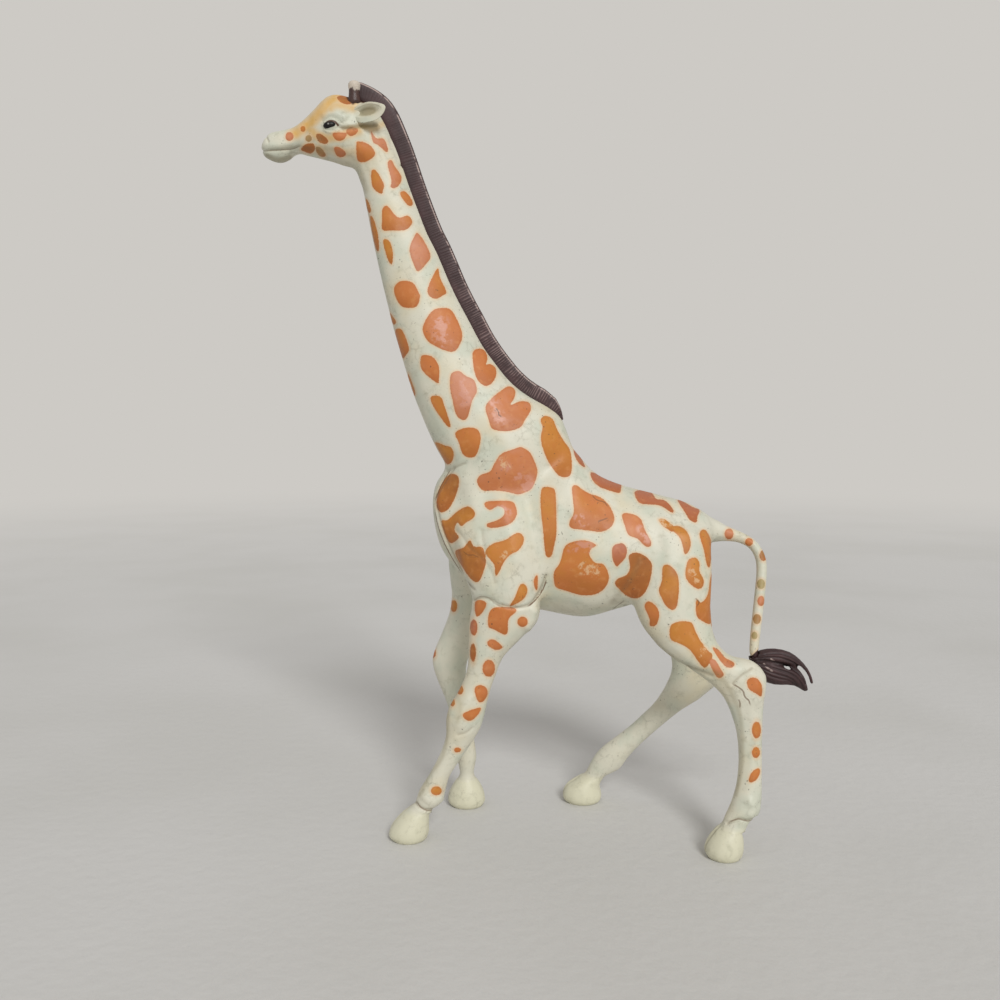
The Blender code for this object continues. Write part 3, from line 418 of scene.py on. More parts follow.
# The coat: spots were sprayed on through masks laid against each side, so they have a crisp edge
# with a faint halo of overspray. The paint runs from ochre through orange to salmon, and rubbing has
# taken the shine and colour off some of it.
# A spot: its tone, and the pixels of its outline, or of an ellipse's middle with its width and height.
# Tone 0 is ochre, 0.5 orange, 1 salmon, 1.5 rust, -0.5 brown, -1.2 olive and 3 the brown of the hair.
COAT_SPOTS = (
    # the head
    (-0.3, 337, 97.5, 341, 95.5, 349, 96, 353, 101, 349, 104.5, 341, 102.5),
    (0.9, 289.5, 136.5, 8, 9), (0.3, 303, 129, 5, 6), (-0.9, 308.6, 138.4, 6.4, 7),
    (-0.7, 301, 149, 306, 144, 313, 143.5, 315, 149, 311, 153.5, 304, 151.5),
    (-0.85, 316, 135, 321, 134, 328, 140, 326, 144, 319, 142),
    (-0.9, 316, 147, 321, 148, 326, 155, 322, 157, 317, 153),
    (0.7, 333, 133, 346, 133, 345, 138, 340, 141, 335, 139),
    (0.5, 346, 131, 351, 127, 358, 129, 356, 134, 350, 136),
    (0.8, 334, 148, 339, 147, 346, 153, 343, 157, 337, 156),
    (0.4, 356.3, 145, 357.5, 141.3, 365, 142.5, 371.3, 146.3, 375, 152.5, 373, 157.5, 365, 162, 357.5, 160),
    (0.9, 371, 131, 376, 138, 384, 139, 388, 149, 386, 152, 378, 145, 373, 142),
    # the neck
    (0.8, 387.5, 163.8, 391.3, 160, 395, 166.3, 401.3, 176.3, 400, 183.8, 395, 188, 390.8, 187, 391.3, 180),
    (0.3, 371.3, 171.3, 376.3, 170.8, 383.8, 183.8, 383, 190, 382.5, 193.8, 376.3, 191.3, 372, 185),
    (0.4, 400, 193.8, 405, 191.3, 411.3, 198.8, 412.5, 205, 407.5, 205),
    (0.4, 382.5, 208.8, 387.5, 205.8, 395, 215, 400, 217.5, 407.5, 215.5, 412, 220, 411.3, 225, 405, 230,
     392.5, 230.5, 382.5, 230, 382, 220),
    (0.1, 366, 199, 369, 203, 371, 211, 369, 213, 366.5, 207),
    (0.2, 370, 216, 374, 220, 378, 235, 379, 250, 376, 249, 372, 232),
    (0.0, 383, 241.3, 387.5, 239.5, 391.3, 245, 393, 255, 391.8, 264.5, 387.5, 258.8),
    (0.9, 409.5, 250, 415, 235, 418.8, 233.8, 426.3, 245, 430.5, 256.3, 426.3, 263.8, 418.8, 271.3,
     415, 267.5),
    (0.4, 428.8, 285, 437.5, 268.3, 440, 277.5, 446.3, 291.3, 443.8, 295, 435, 298.8, 428, 293.8),
    (0.5, 393.8, 290, 400, 281.3, 412.5, 282.5, 418.8, 292.5, 420, 297, 417, 306, 409, 308, 400, 305),
    (0.6, 432, 311, 442, 308, 452, 311, 462, 332, 460, 344, 452, 352, 433, 345, 425, 337, 423, 326),
    (0.1, 387, 310, 396, 321, 393, 324),
    (0.4, 395, 332, 402, 330, 409, 348, 406, 355, 402, 357),
    (0.6, 421, 357, 427, 355, 434, 358, 439, 367, 439, 379, 437, 383, 422, 370),
    (0.6, 473, 352, 479, 348.5, 485, 351, 487.5, 358, 486, 364.5, 490, 364, 495.5, 368, 496, 376, 492, 383,
     486, 386, 479, 382, 475, 374, 473, 363),
    (1.0, 451, 374, 459, 371, 466, 376, 473.8, 380, 477, 391.3, 472.5, 400, 467.5, 417.5, 462.5, 420,
     456.3, 415, 452.5, 400, 450, 387.5),
    (0.2, 408, 373, 415, 391, 414, 396, 410, 388),
    (0.3, 430.5, 397.5, 435, 395.5, 441.3, 397.5, 445, 407.5, 450.5, 425, 447.5, 426.3, 438.8, 415,
     432.5, 405),
    (0.7, 485.5, 407.5, 491.3, 398.8, 500, 391.3, 508.8, 386.3, 515, 390, 514.5, 397.5, 510.5, 405,
     520, 401.3, 528.8, 402.5, 530.8, 410, 525, 420, 520, 427.5, 506.3, 431.3, 492.5, 428.8, 488.8, 420),
    (0.4, 455, 433.8, 461.3, 428.8, 471.3, 427.5, 478, 430, 480.8, 438.8, 476.3, 455, 468.8, 457.5,
     462.5, 453.8, 458.8, 442.5),
    (0.0, 435, 442.5, 445, 445.5, 451.3, 447.5, 453.8, 455, 451.3, 462.5, 446.3, 463.8, 441.3, 455),
    # the body
    (0.75, 477, 480, 481.3, 474.5, 490, 471.3, 495, 462.5, 501.3, 453.8, 512.5, 449.5, 521.3, 447,
     530, 452.5, 535, 462.5, 537.5, 472.5, 532.5, 487.5, 525, 492.5, 517.5, 494.3, 507.5, 492, 495, 490.5,
     483.8, 490.8, 478.8, 486.3),
    (0.2, 540.5, 420, 545, 415.8, 552.5, 418.8, 556.3, 427.5, 562.5, 438.8, 570, 450, 571.8, 462.5,
     571.3, 472.5, 567.5, 477, 560, 476.3, 553.8, 470, 547.5, 460, 542.5, 447.5, 540.8, 437.5,
     542.5, 427.5),
    (0.3, 541.3, 490, 545, 487, 551.3, 487.5, 555.5, 492.5, 556.5, 520, 556.3, 535, 553.8, 547.5,
     551.3, 556.3, 546.3, 556.3, 544.3, 545, 543, 530, 540.5, 505),
    (0.45, 572, 487.5, 576.3, 485, 581.3, 488.8, 590, 493.8, 600, 497, 608.8, 505, 613.8, 515, 613.8, 522.5,
     608.8, 528.8, 600, 531.8, 590, 530.8, 580, 529.5, 571.3, 528, 569.3, 522.5, 573.8, 512.5, 573, 500),
    (0.4, 565, 546.3, 575, 541.3, 586.3, 540.5, 596.3, 545, 591.3, 548.8, 589.5, 555, 595, 562.5,
     603.8, 564.5, 608.8, 575, 607.5, 583.8, 601.3, 591.3, 592.5, 595, 580, 595, 567.5, 591.3, 556.3, 587.5,
     553.8, 580, 554.3, 571.3, 560, 562.5),
    (1.4, 612.5, 547.5, 617.5, 543.8, 623.8, 543.8, 627, 550, 625.5, 557.5, 620, 563.8, 616.3, 566.3,
     612.5, 558.8),
    (-0.4, 628.8, 556.3, 635, 552.5, 643.8, 555, 651.3, 562.5, 652, 570, 649.5, 582.5, 645, 592.5,
     637.5, 598.3, 627.5, 596.3, 618.8, 588.8, 615, 583.8, 617.5, 578.8, 626.3, 575, 630, 567.5),
    (-0.2, 662.5, 567.5, 667.5, 564.5, 673.8, 568.8, 678.3, 577.5, 678.8, 592.5, 676.8, 606.3, 672.5, 610,
     666.3, 606.3, 661.3, 597.5, 658.8, 590, 662, 580),
    (1.6, 590.5, 473, 595, 473, 605, 477.5, 620, 483, 620.8, 490, 618.8, 493, 607.5, 490, 598.8, 486.3,
     592.5, 480),
    (1.6, 572.5, 440, 576.3, 446.3, 580, 455, 585, 466.3, 582.5, 466.3, 577.5, 461.3, 573.8, 452.5),
    (1.5, 634.5, 492.5, 641.3, 490, 651.3, 492.5, 656.3, 498.8, 663.8, 500, 670, 505, 673.8, 511.3,
     671.3, 512.5, 663.8, 507.5, 657.5, 505, 647.5, 504.3, 638.8, 502.5),
    (1.5, 677.5, 500, 685, 502.5, 692.5, 507, 699.5, 510, 697.5, 516.3, 696.3, 522.5, 690, 520, 685, 512.5),
    (0.7, 622, 516.3, 625, 513, 635, 515, 641.3, 520, 645, 530, 651.3, 542.5, 648.8, 547, 643.8, 545,
     637.5, 538.8, 628.8, 535, 625, 526.3),
    (0.0, 670, 527.5, 680, 526.3, 687.5, 532.5, 690.8, 542.5, 688.8, 551.3, 684.5, 553.8, 682.5, 545,
     678.8, 536.3),
    (0.1, 658.5, 519.5, 664, 519, 671, 524, 676, 529, 673, 532, 667, 529, 662, 525),
    (0.3, 699.5, 533.8, 704.5, 529.5, 710, 537.5, 711.8, 550, 710, 566.3, 707, 565, 703.8, 550),
    (0.2, 686.3, 566.3, 688.8, 559.5, 695, 557.5, 699.5, 562.5, 699.5, 571.3, 703.8, 580, 702.5, 587,
     697.5, 588.8, 690, 583.8, 685.5, 576.3),
    (0.3, 712, 572.5, 713.8, 580, 713, 605, 711.3, 623, 702.5, 621.3, 696.3, 615, 696.3, 600, 701.3, 602.5,
     707.5, 595, 710, 580),
    (0.5, 644.5, 606.3, 648.8, 601.3, 656.3, 606.3, 659.3, 615, 656.3, 625, 650, 625.8, 649.5, 618.8),
    (0.7, 484.3, 505, 488.8, 501.3, 511.3, 501.3, 516.3, 508.8, 516.3, 516.3, 510, 523.8, 497.5, 527.5,
     488.8, 527.5, 487, 523.8, 497.5, 520, 503.8, 515, 503.8, 508.8, 497.5, 506.3, 490, 510),
    (-0.3, 445, 478.8, 451.3, 473.8, 458, 476.3, 458.8, 485, 455, 497.5, 448.8, 508.8, 441.3, 512.5,
     437, 507.5, 437, 497.5, 440, 487.5),
    (-0.2, 441.3, 521.3, 447.5, 520, 457.5, 511.3, 467.5, 506.3, 474.5, 511.3, 473.8, 517.5, 466.3, 522.5,
     461.3, 526.3, 457.5, 522.5, 454.5, 530, 458.8, 537.5, 451.3, 543.3, 446.3, 537.5),
    (-0.3, 455, 552.5, 463.8, 547.5, 470, 540, 473.8, 546.3, 482.5, 547.5, 485.5, 557.5, 485.5, 565,
     480, 580, 473.8, 581.3, 465, 571.3),
    (0.3, 485.5, 552.5, 492.5, 543.8, 505, 540, 516.3, 533, 522.5, 535, 523.8, 541.3, 518.8, 550, 510, 555,
     503.8, 562.5, 497.5, 575, 495, 573.8, 494.3, 565),
    (0.2, 520, 585, 525, 584.5, 527.5, 591.3, 522.5, 600, 510, 606.3, 515, 597),
    (0.6, 533.8, 580, 537.5, 575, 537.5, 588.8, 535, 588.8),
    (0.2, 669.5, 632.5, 671.3, 625, 680, 621.3, 691.3, 622.5, 695, 630, 700, 640, 707.5, 650, 712.5, 656,
     706, 667.5, 700, 663.8, 690, 650, 680, 643.8, 671.3, 640),
)
LEFT_LEG_SPOTS = (
    (0.9, 708.8, 660, 715, 660, 721.3, 670, 723.8, 675, 718.8, 678, 713.8, 672.5),
    (0.7, 712.5, 647.5, 718.8, 650, 725, 657.5, 733.8, 662.5, 733, 667, 726.3, 667, 718.8, 658.8),
    (0.5, 475, 602.5, 481.3, 600, 486.3, 603.8, 482.5, 612.5, 476.3, 616.3),
    (0.5, 488.8, 613.8, 495, 607.5, 512.5, 607.5, 516.3, 611.3, 508.8, 618.8, 507.5, 632.5, 503.8, 634.5,
     495, 630, 488.3, 626.3),
    (0.6, 522.5, 621.8, 10.4, 10.4), (1.4, 473.8, 627.5, 7.5, 16), (-0.6, 473, 652.5, 6, 18),
    (0.7, 487.5, 641.3, 493.8, 639.5, 502.5, 647, 496.3, 650, 488.8, 646.3),
    (0.7, 488.8, 668.3, 12.5, 17),
    (0.6, 474.5, 688.8, 480, 685, 486.3, 688, 487.5, 695, 482.5, 702, 477.5, 700.5),
    (0.5, 462.5, 715, 467.5, 711.3, 480, 707.5, 479.5, 712.5, 472.5, 720, 466.3, 720),
    (0.2, 460, 690, 7, 9), (0.1, 452.5, 702.5, 5, 8), (0.5, 457.5, 750, 7, 5), (0.2, 436.3, 790.8, 11, 9),
    (0.6, 747, 681.3, 751.3, 677.5, 757.5, 678.8, 762, 686.3, 761.3, 696.3, 756.3, 693.8, 748.8, 688.8),
    (0.4, 756.5, 730, 9, 17), (0.3, 756, 752.5, 8, 11),
    (0.4, 748.8, 778.8, 752.5, 771.3, 758.8, 768.3, 760, 772.5, 756.3, 780, 750, 782.5),
)
TAIL_SPOTS = (
    (0.9, 729, 534, 9, 11), (0.5, 749, 542, 8, 8), (-0.8, 763.5, 555.5, 8, 11), (-1.2, 761, 584, 8, 10),
    (0.9, 761, 601, 7, 10), (-0.92, 757, 619, 8, 10), (-1.2, 754.5, 635.5, 6, 7.5),
    (3, 738, 664, 746, 659.5, 751, 656, 755, 652.5, 760, 649, 768, 652, 762, 668, 746, 672),
)
INNER_FORE_SPOTS = ((0.6, 455, 578.8, 7, 12), (0.0, 453.8, 606, 7, 12), (0.6, 433, 653, 6, 10))
# A spot on the outside of a right leg, in millimetres: tone, behind the leg's middle, up from the
# floor, width and height
RIGHT_FORE_SPOTS = ((0.5, -3.4, 49, 3.4, 3), (0.4, 1.4, 45.5, 4.6, 4.2), (0.7, -1.6, 40, 2.6, 3.2),
                    (0.3, 1.7, 36.5, 2, 3), (0.5, -0.4, 32, 2.6, 3), (0.6, 0.5, 27.3, 2.2, 2.4),
                    (0.2, -0.5, 23, 1.6, 2.2), (0.4, 0.2, 11, 2, 1.8))
RIGHT_HIND_SPOTS = ((0.5, -1.2, 40.5, 4.2, 4.4), (0.3, 2.4, 36, 2.6, 3), (0.6, -2, 33, 2.4, 2.8),
                    (0.4, 0.6, 28.5, 2.8, 2.6), (0.2, 0.2, 22.5, 2, 2), (0.6, 0, 17, 2.2, 1.8),
                    (0.3, 0.3, 12.2, 2, 1.6))
# A spot on the back of each thigh, in millimetres: tone, out from the middle, up, width and height
REAR_SPOTS = ((0.4, 5.2, 65.5, 5.4, 6.2), (0.2, 8.6, 57.5, 4.4, 6.8), (0.5, 4.8, 55, 3, 3.8),
              (0.3, 8, 48.5, 3.8, 5.2))
FAR_FROM_SPOT = -12
PIXEL_SIZE = 0.000239
TURN_REACH = 14
TAIL_ROOT_HALF = 0.0024
RUMP_END, TAIL_SPOT_START, THIGH_FRONT = 0.0415, 0.0425, 0.026
LEG_TOP = 0.0475
FAR_LEG_ROW = 655
# On the right side the spots stray a little from the left's mirror image, in slow waves
DRIFT_START = 0.004
DRIFT_WAVES = ((5, 27), (6, 31))


def lay_spot(skin, pixels, chosen, spot):
    """Record how far inside a spot each chosen vertex lies, with the spot's tone and the height in it."""
    tone, *points = spot
    if len(points) == 4:
        middle = np.array(points[:2])
        half = np.array(points[2:]) / 2
        low, high = middle - half, middle + half
    else:
        outline = rounded(np.reshape(points, (-1, 2)), closed=True)
        low, high = outline.min(0), outline.max(0)
    margin = -FAR_FROM_SPOT
    found = np.flatnonzero(chosen & (pixels > low - margin).all(1) & (pixels < high + margin).all(1))
    if len(points) == 4:
        depth = (1 - np.linalg.norm((pixels[found] - middle) / half, axis=1)) * half.min()
    else:
        loop = np.vstack((outline, outline[:1]))
        columns, rows = pixels[found].T
        inside = np.zeros(len(found), bool)
        for start, end in zip(loop, loop[1:]):
            spans = (start[1] > rows) != (end[1] > rows)
            slope = (end[0] - start[0]) / (end[1] - start[1] or 1e-9)
            inside ^= spans & (columns < start[0] + (rows - start[1]) * slope)
        depth = line_distance(pixels[found], loop) * np.where(inside, 1, -1)
    depth = np.minimum(depth, skin.limit[found])
    nearer = depth > skin.layers["spot"][found]
    found = found[nearer]
    skin.layers["spot"][found] = depth[nearer]
    skin.layers["tone"][found] = tone
    skin.layers["fall"][found] = np.clip((pixels[found, 1] - low[1]) / (high[1] - low[1]), 0, 1)


def leg_middle(name, heights):
    """The middle of a leg, front to back, at each height."""
    corners = np.array([vert.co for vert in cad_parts[name].data.vertices])
    steps = np.arange(corners[:, 2].min(), corners[:, 2].max(), 0.002)
    middles = []
    for step in steps:
        slab = corners[np.abs(corners[:, 2] - step) < 0.003, 0]
        middles.append((slab.min() + slab.max()) / 2)
    return np.interp(heights, steps, middles)


def lay_ellipses(skin, places, chosen, spots):
    """Lay spots that are given by their places in millimetres."""
    for tone, *ellipse in spots:
        lay_spot(skin, places / PIXEL_SIZE, chosen, (tone, *(np.array(ellipse) / 1000 / PIXEL_SIZE)))


for skin in SKINS:
    places, normals = skin.places(), skin.normals()
    skin.pixels = pixels_of(places)
    beside = np.abs(places[:, 1] - MIDDLE)
    for layer, value in (("spot", FAR_FROM_SPOT), ("tone", 0), ("fall", 0)):
        skin.layers[layer] = np.full(len(places), float(value))
    pixels = skin.pixels.copy()
    drift = np.clip((places[:, 1] - MIDDLE) / DRIFT_START, 0, 1)
    for axis, (height, length) in enumerate(DRIFT_WAVES):
        pixels[:, axis] += drift * height * np.sin(pixels[:, 1 - axis] / length)
    # a spot ends where the hide turns from the side that it was sprayed on
    leg = places[:, 2] < LEG_TOP
    turned = np.maximum(np.abs(normals[:, 1]) - 0.2, 0.8 - normals[:, 0])
    skin.limit = np.where(leg, np.minimum(turned, skin.facing + 0.1), turned) * TURN_REACH
    beside_tail = np.minimum(skin.limit, (beside - TAIL_ROOT_HALF) / PIXEL_SIZE)
    skin.limit = np.where(places[:, 0] > RUMP_END, beside_tail, skin.limit)
    left, outer = skin.side < 0, skin.facing > -0.5
    on_side = (outer | ~leg) & (~leg | left | (pixels[:, 1] < FAR_LEG_ROW))
    for spots, chosen in ((COAT_SPOTS, on_side), (LEFT_LEG_SPOTS, left & outer)):
        for spot in spots:
            lay_spot(skin, pixels, chosen, spot)
    tail = skin.part("tail") & (places[:, 0] > TAIL_SPOT_START)
    skin.limit = (normals[:, 0] - 0.4) * TURN_REACH
    lay_ellipses(skin, np.column_stack((beside, places[:, 2])),
                 (places[:, 0] > THIGH_FRONT) & ~tail & (normals[:, 0] > 0.1), REAR_SPOTS)
    skin.limit = np.full(len(places), -float(FAR_FROM_SPOT))
    for spot in TAIL_SPOTS:
        lay_spot(skin, pixels, tail, spot)
    inner = (skin.side > 0) & (normals[:, 1] < 0.2) & skin.part("fore")
    for spot in INNER_FORE_SPOTS:
        lay_spot(skin, pixels_of(places, mirrored=False), inner, spot)
    for name, spots in (("right_fore_leg", RIGHT_FORE_SPOTS), ("right_hind_leg", RIGHT_HIND_SPOTS)):
        behind = places[:, 0] - leg_middle(name, places[:, 2])
        lay_ellipses(skin, np.column_stack((behind, places[:, 2])), (skin.owner == name) & outer & leg, spots)

# The brush work: the crown, the bridge of the nose and the brow were washed with yellow, and the roots
# of the horns touched with brown. The brown lines over the eye and behind it are painted shade. Olive
# strokes are mostly painted shade, round the mouth and jaw, under the ear, chest and belly, along the
# legs and over the far legs, with grime at the knee. Handling has rubbed patches of the spots pink or bare.
# A stroke: layer, width in pixels, strength, sides, pixels
STROKES = (
    ("wash", 8, 1.0, BOTH, 296, 133, 304, 127, 312, 121, 320, 112, 328, 103, 338, 97, 347, 101),
    ("wash", 7, 0.8, BOTH, 311, 130, 318, 136, 330, 138, 346, 134, 358, 131),
    ("wash", 7, 0.5, BOTH, 306, 147, 320, 148, 338, 151, 356, 152),
    ("wash", 6, 0.6, BOTH, 340, 98, 354, 103, 350, 109, 343, 106),
    ("wash", 5, 0.6, BOTH, 360, 126, 374, 129, 383, 124),
    # olive strokes on the face, mostly painted shade round the mouth, under the jaw and under the ear
    ("olive", 5, 0.4, BOTH, 311, 116, 311, 124, 308, 131),
    ("olive", 3, 0.9, BOTH, 343, 128, 354, 127, 364, 126, 376, 125),
    ("olive", 5, 0.5, BOTH, 326, 159, 342, 163, 354, 168, 360, 176, 366, 190),
    ("olive", 4.2, 0.75, BOTH, 267, 156, 277, 160.5, 290, 158),
    ("olive", 4, 0.45, BOTH, 270, 149.5, 284, 148, 298, 146),
    ("olive", 6, 0.35, BOTH, 300, 145, 310, 150, 326, 156),
    # a brown line of painted shade behind the eye, under the ear
    ("brown", 1.6, 0.45, BOTH, 340, 127.5, 346, 128.3, 352, 127.5),
    ("brown", 2.6, 0.75, BOTH, 348, 97, 353, 103),
    ("wash", 7, 1.0, BOTH, 334, 97, 342, 99, 352, 102),
    ("wash", 6, 0.8, BOTH, 330, 108, 336, 105, 346, 106, 352, 108),
    ("brown", 3.5, 0.9, BOTH, 350, 98, 358, 98, 364, 101, 372, 102),
    # a brown line of painted shade under the upper lid
    ("brown", 1.4, 0.9, BOTH, 325, 124, 328, 121.6, 331.5, 120.9, 335, 122, 338, 125.2),
    # olive strokes: painted shade along the near legs and under the chest and belly, grime at the knee
    ("olive", 4, 0.5, LEFT, 706, 668, 722, 678, 734, 698, 741, 722, 742, 752),
    ("olive", 3.5, 0.55, LEFT, 626, 606, 640, 625, 655, 642, 672, 657, 690, 668),
    ("olive", 3, 0.5, LEFT, 739, 705, 742, 735, 742, 765, 736, 795),
    ("olive", 3, 0.5, LEFT, 447, 706, 448, 720, 446, 744, 441, 760, 430, 775, 420, 795),
    ("olive", 4, 0.4, LEFT, 452, 690, 460, 704, 458, 722),
    ("olive", 5, 0.35, BOTH, 470, 575, 482, 588, 500, 598, 520, 602),
    ("olive", 6, 0.4, BOTH, 556, 607, 580, 612, 606, 607, 622, 600),
    # painted shadow of the body over the far legs
    ("olive", 8, 0.35, RIGHT, 455, 600, 452, 640, 458, 680),
    ("olive", 8, 0.5, RIGHT, 684, 675, 672, 690, 655, 705),
    ("pink", 2.2, 0.6, BOTH, 334, 130.5, 338, 130, 342, 130.5),
    ("pink", 9, 0.8, BOTH, 520, 476, 528, 485),
    ("pink", 6, 0.6, BOTH, 500, 464, 506, 467),
    ("pink", 5, 0.8, BOTH, 578, 517, 584, 522),
    ("pink", 9, 0.5, BOTH, 494, 404, 500, 420),
    ("pink", 8, 0.8, BOTH, 460, 385, 464, 400),
    ("pink", 11, 0.7, BOTH, 440, 324, 442, 338),
    ("pink", 7, 0.7, BOTH, 572, 547, 588, 547),
    ("pink", 4, 0.6, BOTH, 498, 506, 510, 512),
    ("pink", 5, 0.6, BOTH, 640, 528, 647, 540),
    ("rubbed", 7, 0.7, BOTH, 582, 568, 596, 572),
    ("rubbed", 4, 0.8, BOTH, 500, 461, 507, 467),
    ("rubbed", 3, 0.6, LEFT, 506, 553, 500, 560),
    ("rubbed", 4, 0.8, BOTH, 692, 572, 698, 580),
    ("rubbed", 3, 0.9, LEFT, 705, 645, 702, 655),
    ("rubbed", 4, 0.8, BOTH, 660, 521, 668, 526),
)
# A thin line where dirt or brown paint has settled: strength, sides, pixels
THIN_LINES = (
    (0.9, BOTH, 451, 469, 446, 477, 441, 486, 437, 495, 435, 502),
    (0.8, BOTH, 434.5, 507, 437.5, 524, 443, 540, 451, 556, 461, 572, 470, 585, 474, 591),
    (0.9, BOTH, 546.5, 579, 544, 587, 539, 596, 533, 602.5, 527, 607),
    (0.3, BOTH, 523, 606, 508, 608, 497, 605, 489, 598, 481, 596.5, 475, 599),
    (0.8, LEFT, 495, 408, 498, 411, 499, 415, 502, 417),
    (0.6, LEFT, 592, 495, 597, 500, 604, 502, 608, 507),
    (0.6, LEFT, 597, 522, 602, 520, 608, 518),
    (0.5, LEFT, 463, 551, 468, 555, 474, 555, 479, 558),
    (0.6, LEFT, 695, 598, 699, 602, 697, 606),
    (0.7, LEFT, 732.5, 684, 738, 687, 743, 691, 745, 697, 749, 701, 750.5, 706),
    (0.6, LEFT, 738.5, 699, 740, 703, 740, 708),
    (0.35, BOTH, 264, 151.5, 272, 150.5, 283, 150, 293, 149, 300, 146),
    (0.55, LEFT, 416, 799, 420, 806.5, 428, 810.5, 436, 809, 443, 803),
    (0.55, LEFT, 729, 822, 738, 819, 748, 821, 756, 818),
    (0.5, BOTH, 624, 601, 618, 605, 611, 611),
    (0.5, RIGHT, 668, 684, 676, 686, 686, 684),
)
LINE_REACH = 3


def along_line(line):
    """How far along a line each of its points lies."""
    return np.concatenate(([0], np.cumsum(np.linalg.norm(np.diff(line, axis=0), axis=1))))


def draw_line(skin, strength, sides, points):
    """Record to which side of a thin line the vertices near it lie, and how dark the line is there."""
    line = rounded(points)
    shares = along_line(line) / along_line(line)[-1]
    near = (skin.pixels > line.min(0) - LINE_REACH) & (skin.pixels < line.max(0) + LINE_REACH)
    found = np.flatnonzero(near.all(1) & (skin.seen > 0.5) & np.isin(skin.side, sides))
    best, ink = np.full(len(found), float(LINE_REACH)), np.zeros(len(found))
    for spot, (start, end) in enumerate(zip(line, line[1:])):
        along = end - start
        gap = skin.pixels[found] - start
        share = np.clip(gap @ along / (along @ along), 0, 1)
        away = np.linalg.norm(gap - share[:, None] * along, axis=1) / np.clip(skin.facing[found], 0.3, 1)
        nearer = away < np.abs(best)
        side = np.where(gap[:, 0] * along[1] > gap[:, 1] * along[0], 1, -1)
        best[nearer] = (away * side)[nearer]
        place = shares[spot] + (shares[spot + 1] - shares[spot]) * share
        ink[nearer] = np.clip(np.sin(pi * place) * 3, 0, 1)[nearer]
    ink *= strength * np.clip(skin.facing[found] * FACING_SLOPE, 0, 1)
    ink *= np.clip((LINE_REACH - np.abs(best)) / 1.4, 0, 1)
    kept = ink > skin.layers["ink"][found]
    skin.layers["line"][found[kept]] = best[kept]
    skin.layers["ink"][found[kept]] = ink[kept]


for skin in SKINS:
    for layer in ("wash", "olive", "brown", "pink", "rubbed", "ink"):
        skin.layers[layer] = np.zeros(len(skin.owner))
    for layer, width, strength, sides, *points in STROKES:
        stroke = near_line(skin, points, width, sides, "") * strength
        skin.layers[layer] = np.maximum(skin.layers[layer], stroke)
    skin.layers["line"] = np.full(len(skin.owner), float(LINE_REACH))
    for strength, sides, *points in THIN_LINES:
        draw_line(skin, strength, sides, points)
    skin.layers["cream"] = np.clip((CORONET_HEIGHT + 0.0006 - skin.places()[:, 2]) / 0.0012, 0, 1)

# The plastic: soft satin PVC that has yellowed a little, with a fine mould grain, grime and painted shade
# in the folds and small black specks. The hooves are the same plastic sprayed cream.
def tint(red, green, blue):
    """A colour as a paint chart gives it, 0 to 255, in the shader's linear values."""
    shares = [value / 255 for value in (red, green, blue)]
    return [share / 12.92 if share < 0.04045 else ((share + 0.055) / 1.055) ** 2.4 for share in shares] + [1]


class Flow:
    """A socket in a material's nodes; sums and products of flows add Math nodes."""

    def __init__(self, tree, socket=None):
        self.tree = tree
        self.socket = socket

    def node(self, kind, settings=None, values=None, output=0):
        made = self.tree.nodes.new("ShaderNode" + kind)
        for name, setting in (settings or {}).items():
            setattr(made, name, setting)
        for name, value in (values or {}).items():
            if isinstance(value, Flow):
                self.tree.links.new(value.socket, made.inputs[name])
            else:
                made.inputs[name].default_value = value
        return Flow(self.tree, made.outputs[output])

    def math(self, operation, first, second):
        return self.node("Math", {"operation": operation}, {0: first, 1: second})

    def __add__(self, other):
        return self.math("ADD", self, other)

    def __sub__(self, other):
        return self.math("SUBTRACT", self, other)

    def __rsub__(self, other):
        return self.math("SUBTRACT", other, self)

    def __mul__(self, other):
        return self.math("MULTIPLY", self, other)

    __radd__ = __add__
    __rmul__ = __mul__

    def fade(self, start, end):
        """0 before start, 1 after end, smooth between; end may be below start."""
        return self.node("MapRange", {"interpolation_type": "SMOOTHSTEP"},
                         {"Value": self, "From Min": start, "From Max": end})

    def colour(self, shade):
        made = self.node("RGB")
        made.socket.default_value = shade
        return made

    def place(self):
        return self.node("TexCoord", output="Object")

    def layer(self, name):
        return self.node("Attribute", {"attribute_name": name}, output="Fac")

    def cloud(self, scale, detail=3, roughness=0.5):
        """Soft noise on the piece, about scale clouds to a metre."""
        return self.node("TexNoise", {}, {"Vector": self.place(), "Scale": scale, "Detail": detail,
                                          "Roughness": roughness})

    def paint(self, share, over):
        """This colour with another laid over it by a share."""
        return self.node("Mix", {"data_type": "RGBA"}, {0: share, 6: self, 7: over}, output=2)


def new_material(name):
    material = bpy.data.materials.new(name)
    material.use_nodes = True
    return material, Flow(material.node_tree)


def coat_with(flow, colour, roughness, height, depth):
    """Feed a material's shader; the bump is depth metres deep where the height is 1."""
    shader = flow.tree.nodes["Principled BSDF"]
    bump = flow.node("Bump", {}, {"Height": height, "Distance": depth})
    for name, value in (("Base Color", colour), ("Roughness", roughness), ("Normal", bump)):
        flow.tree.links.new(value.socket, shader.inputs[name])


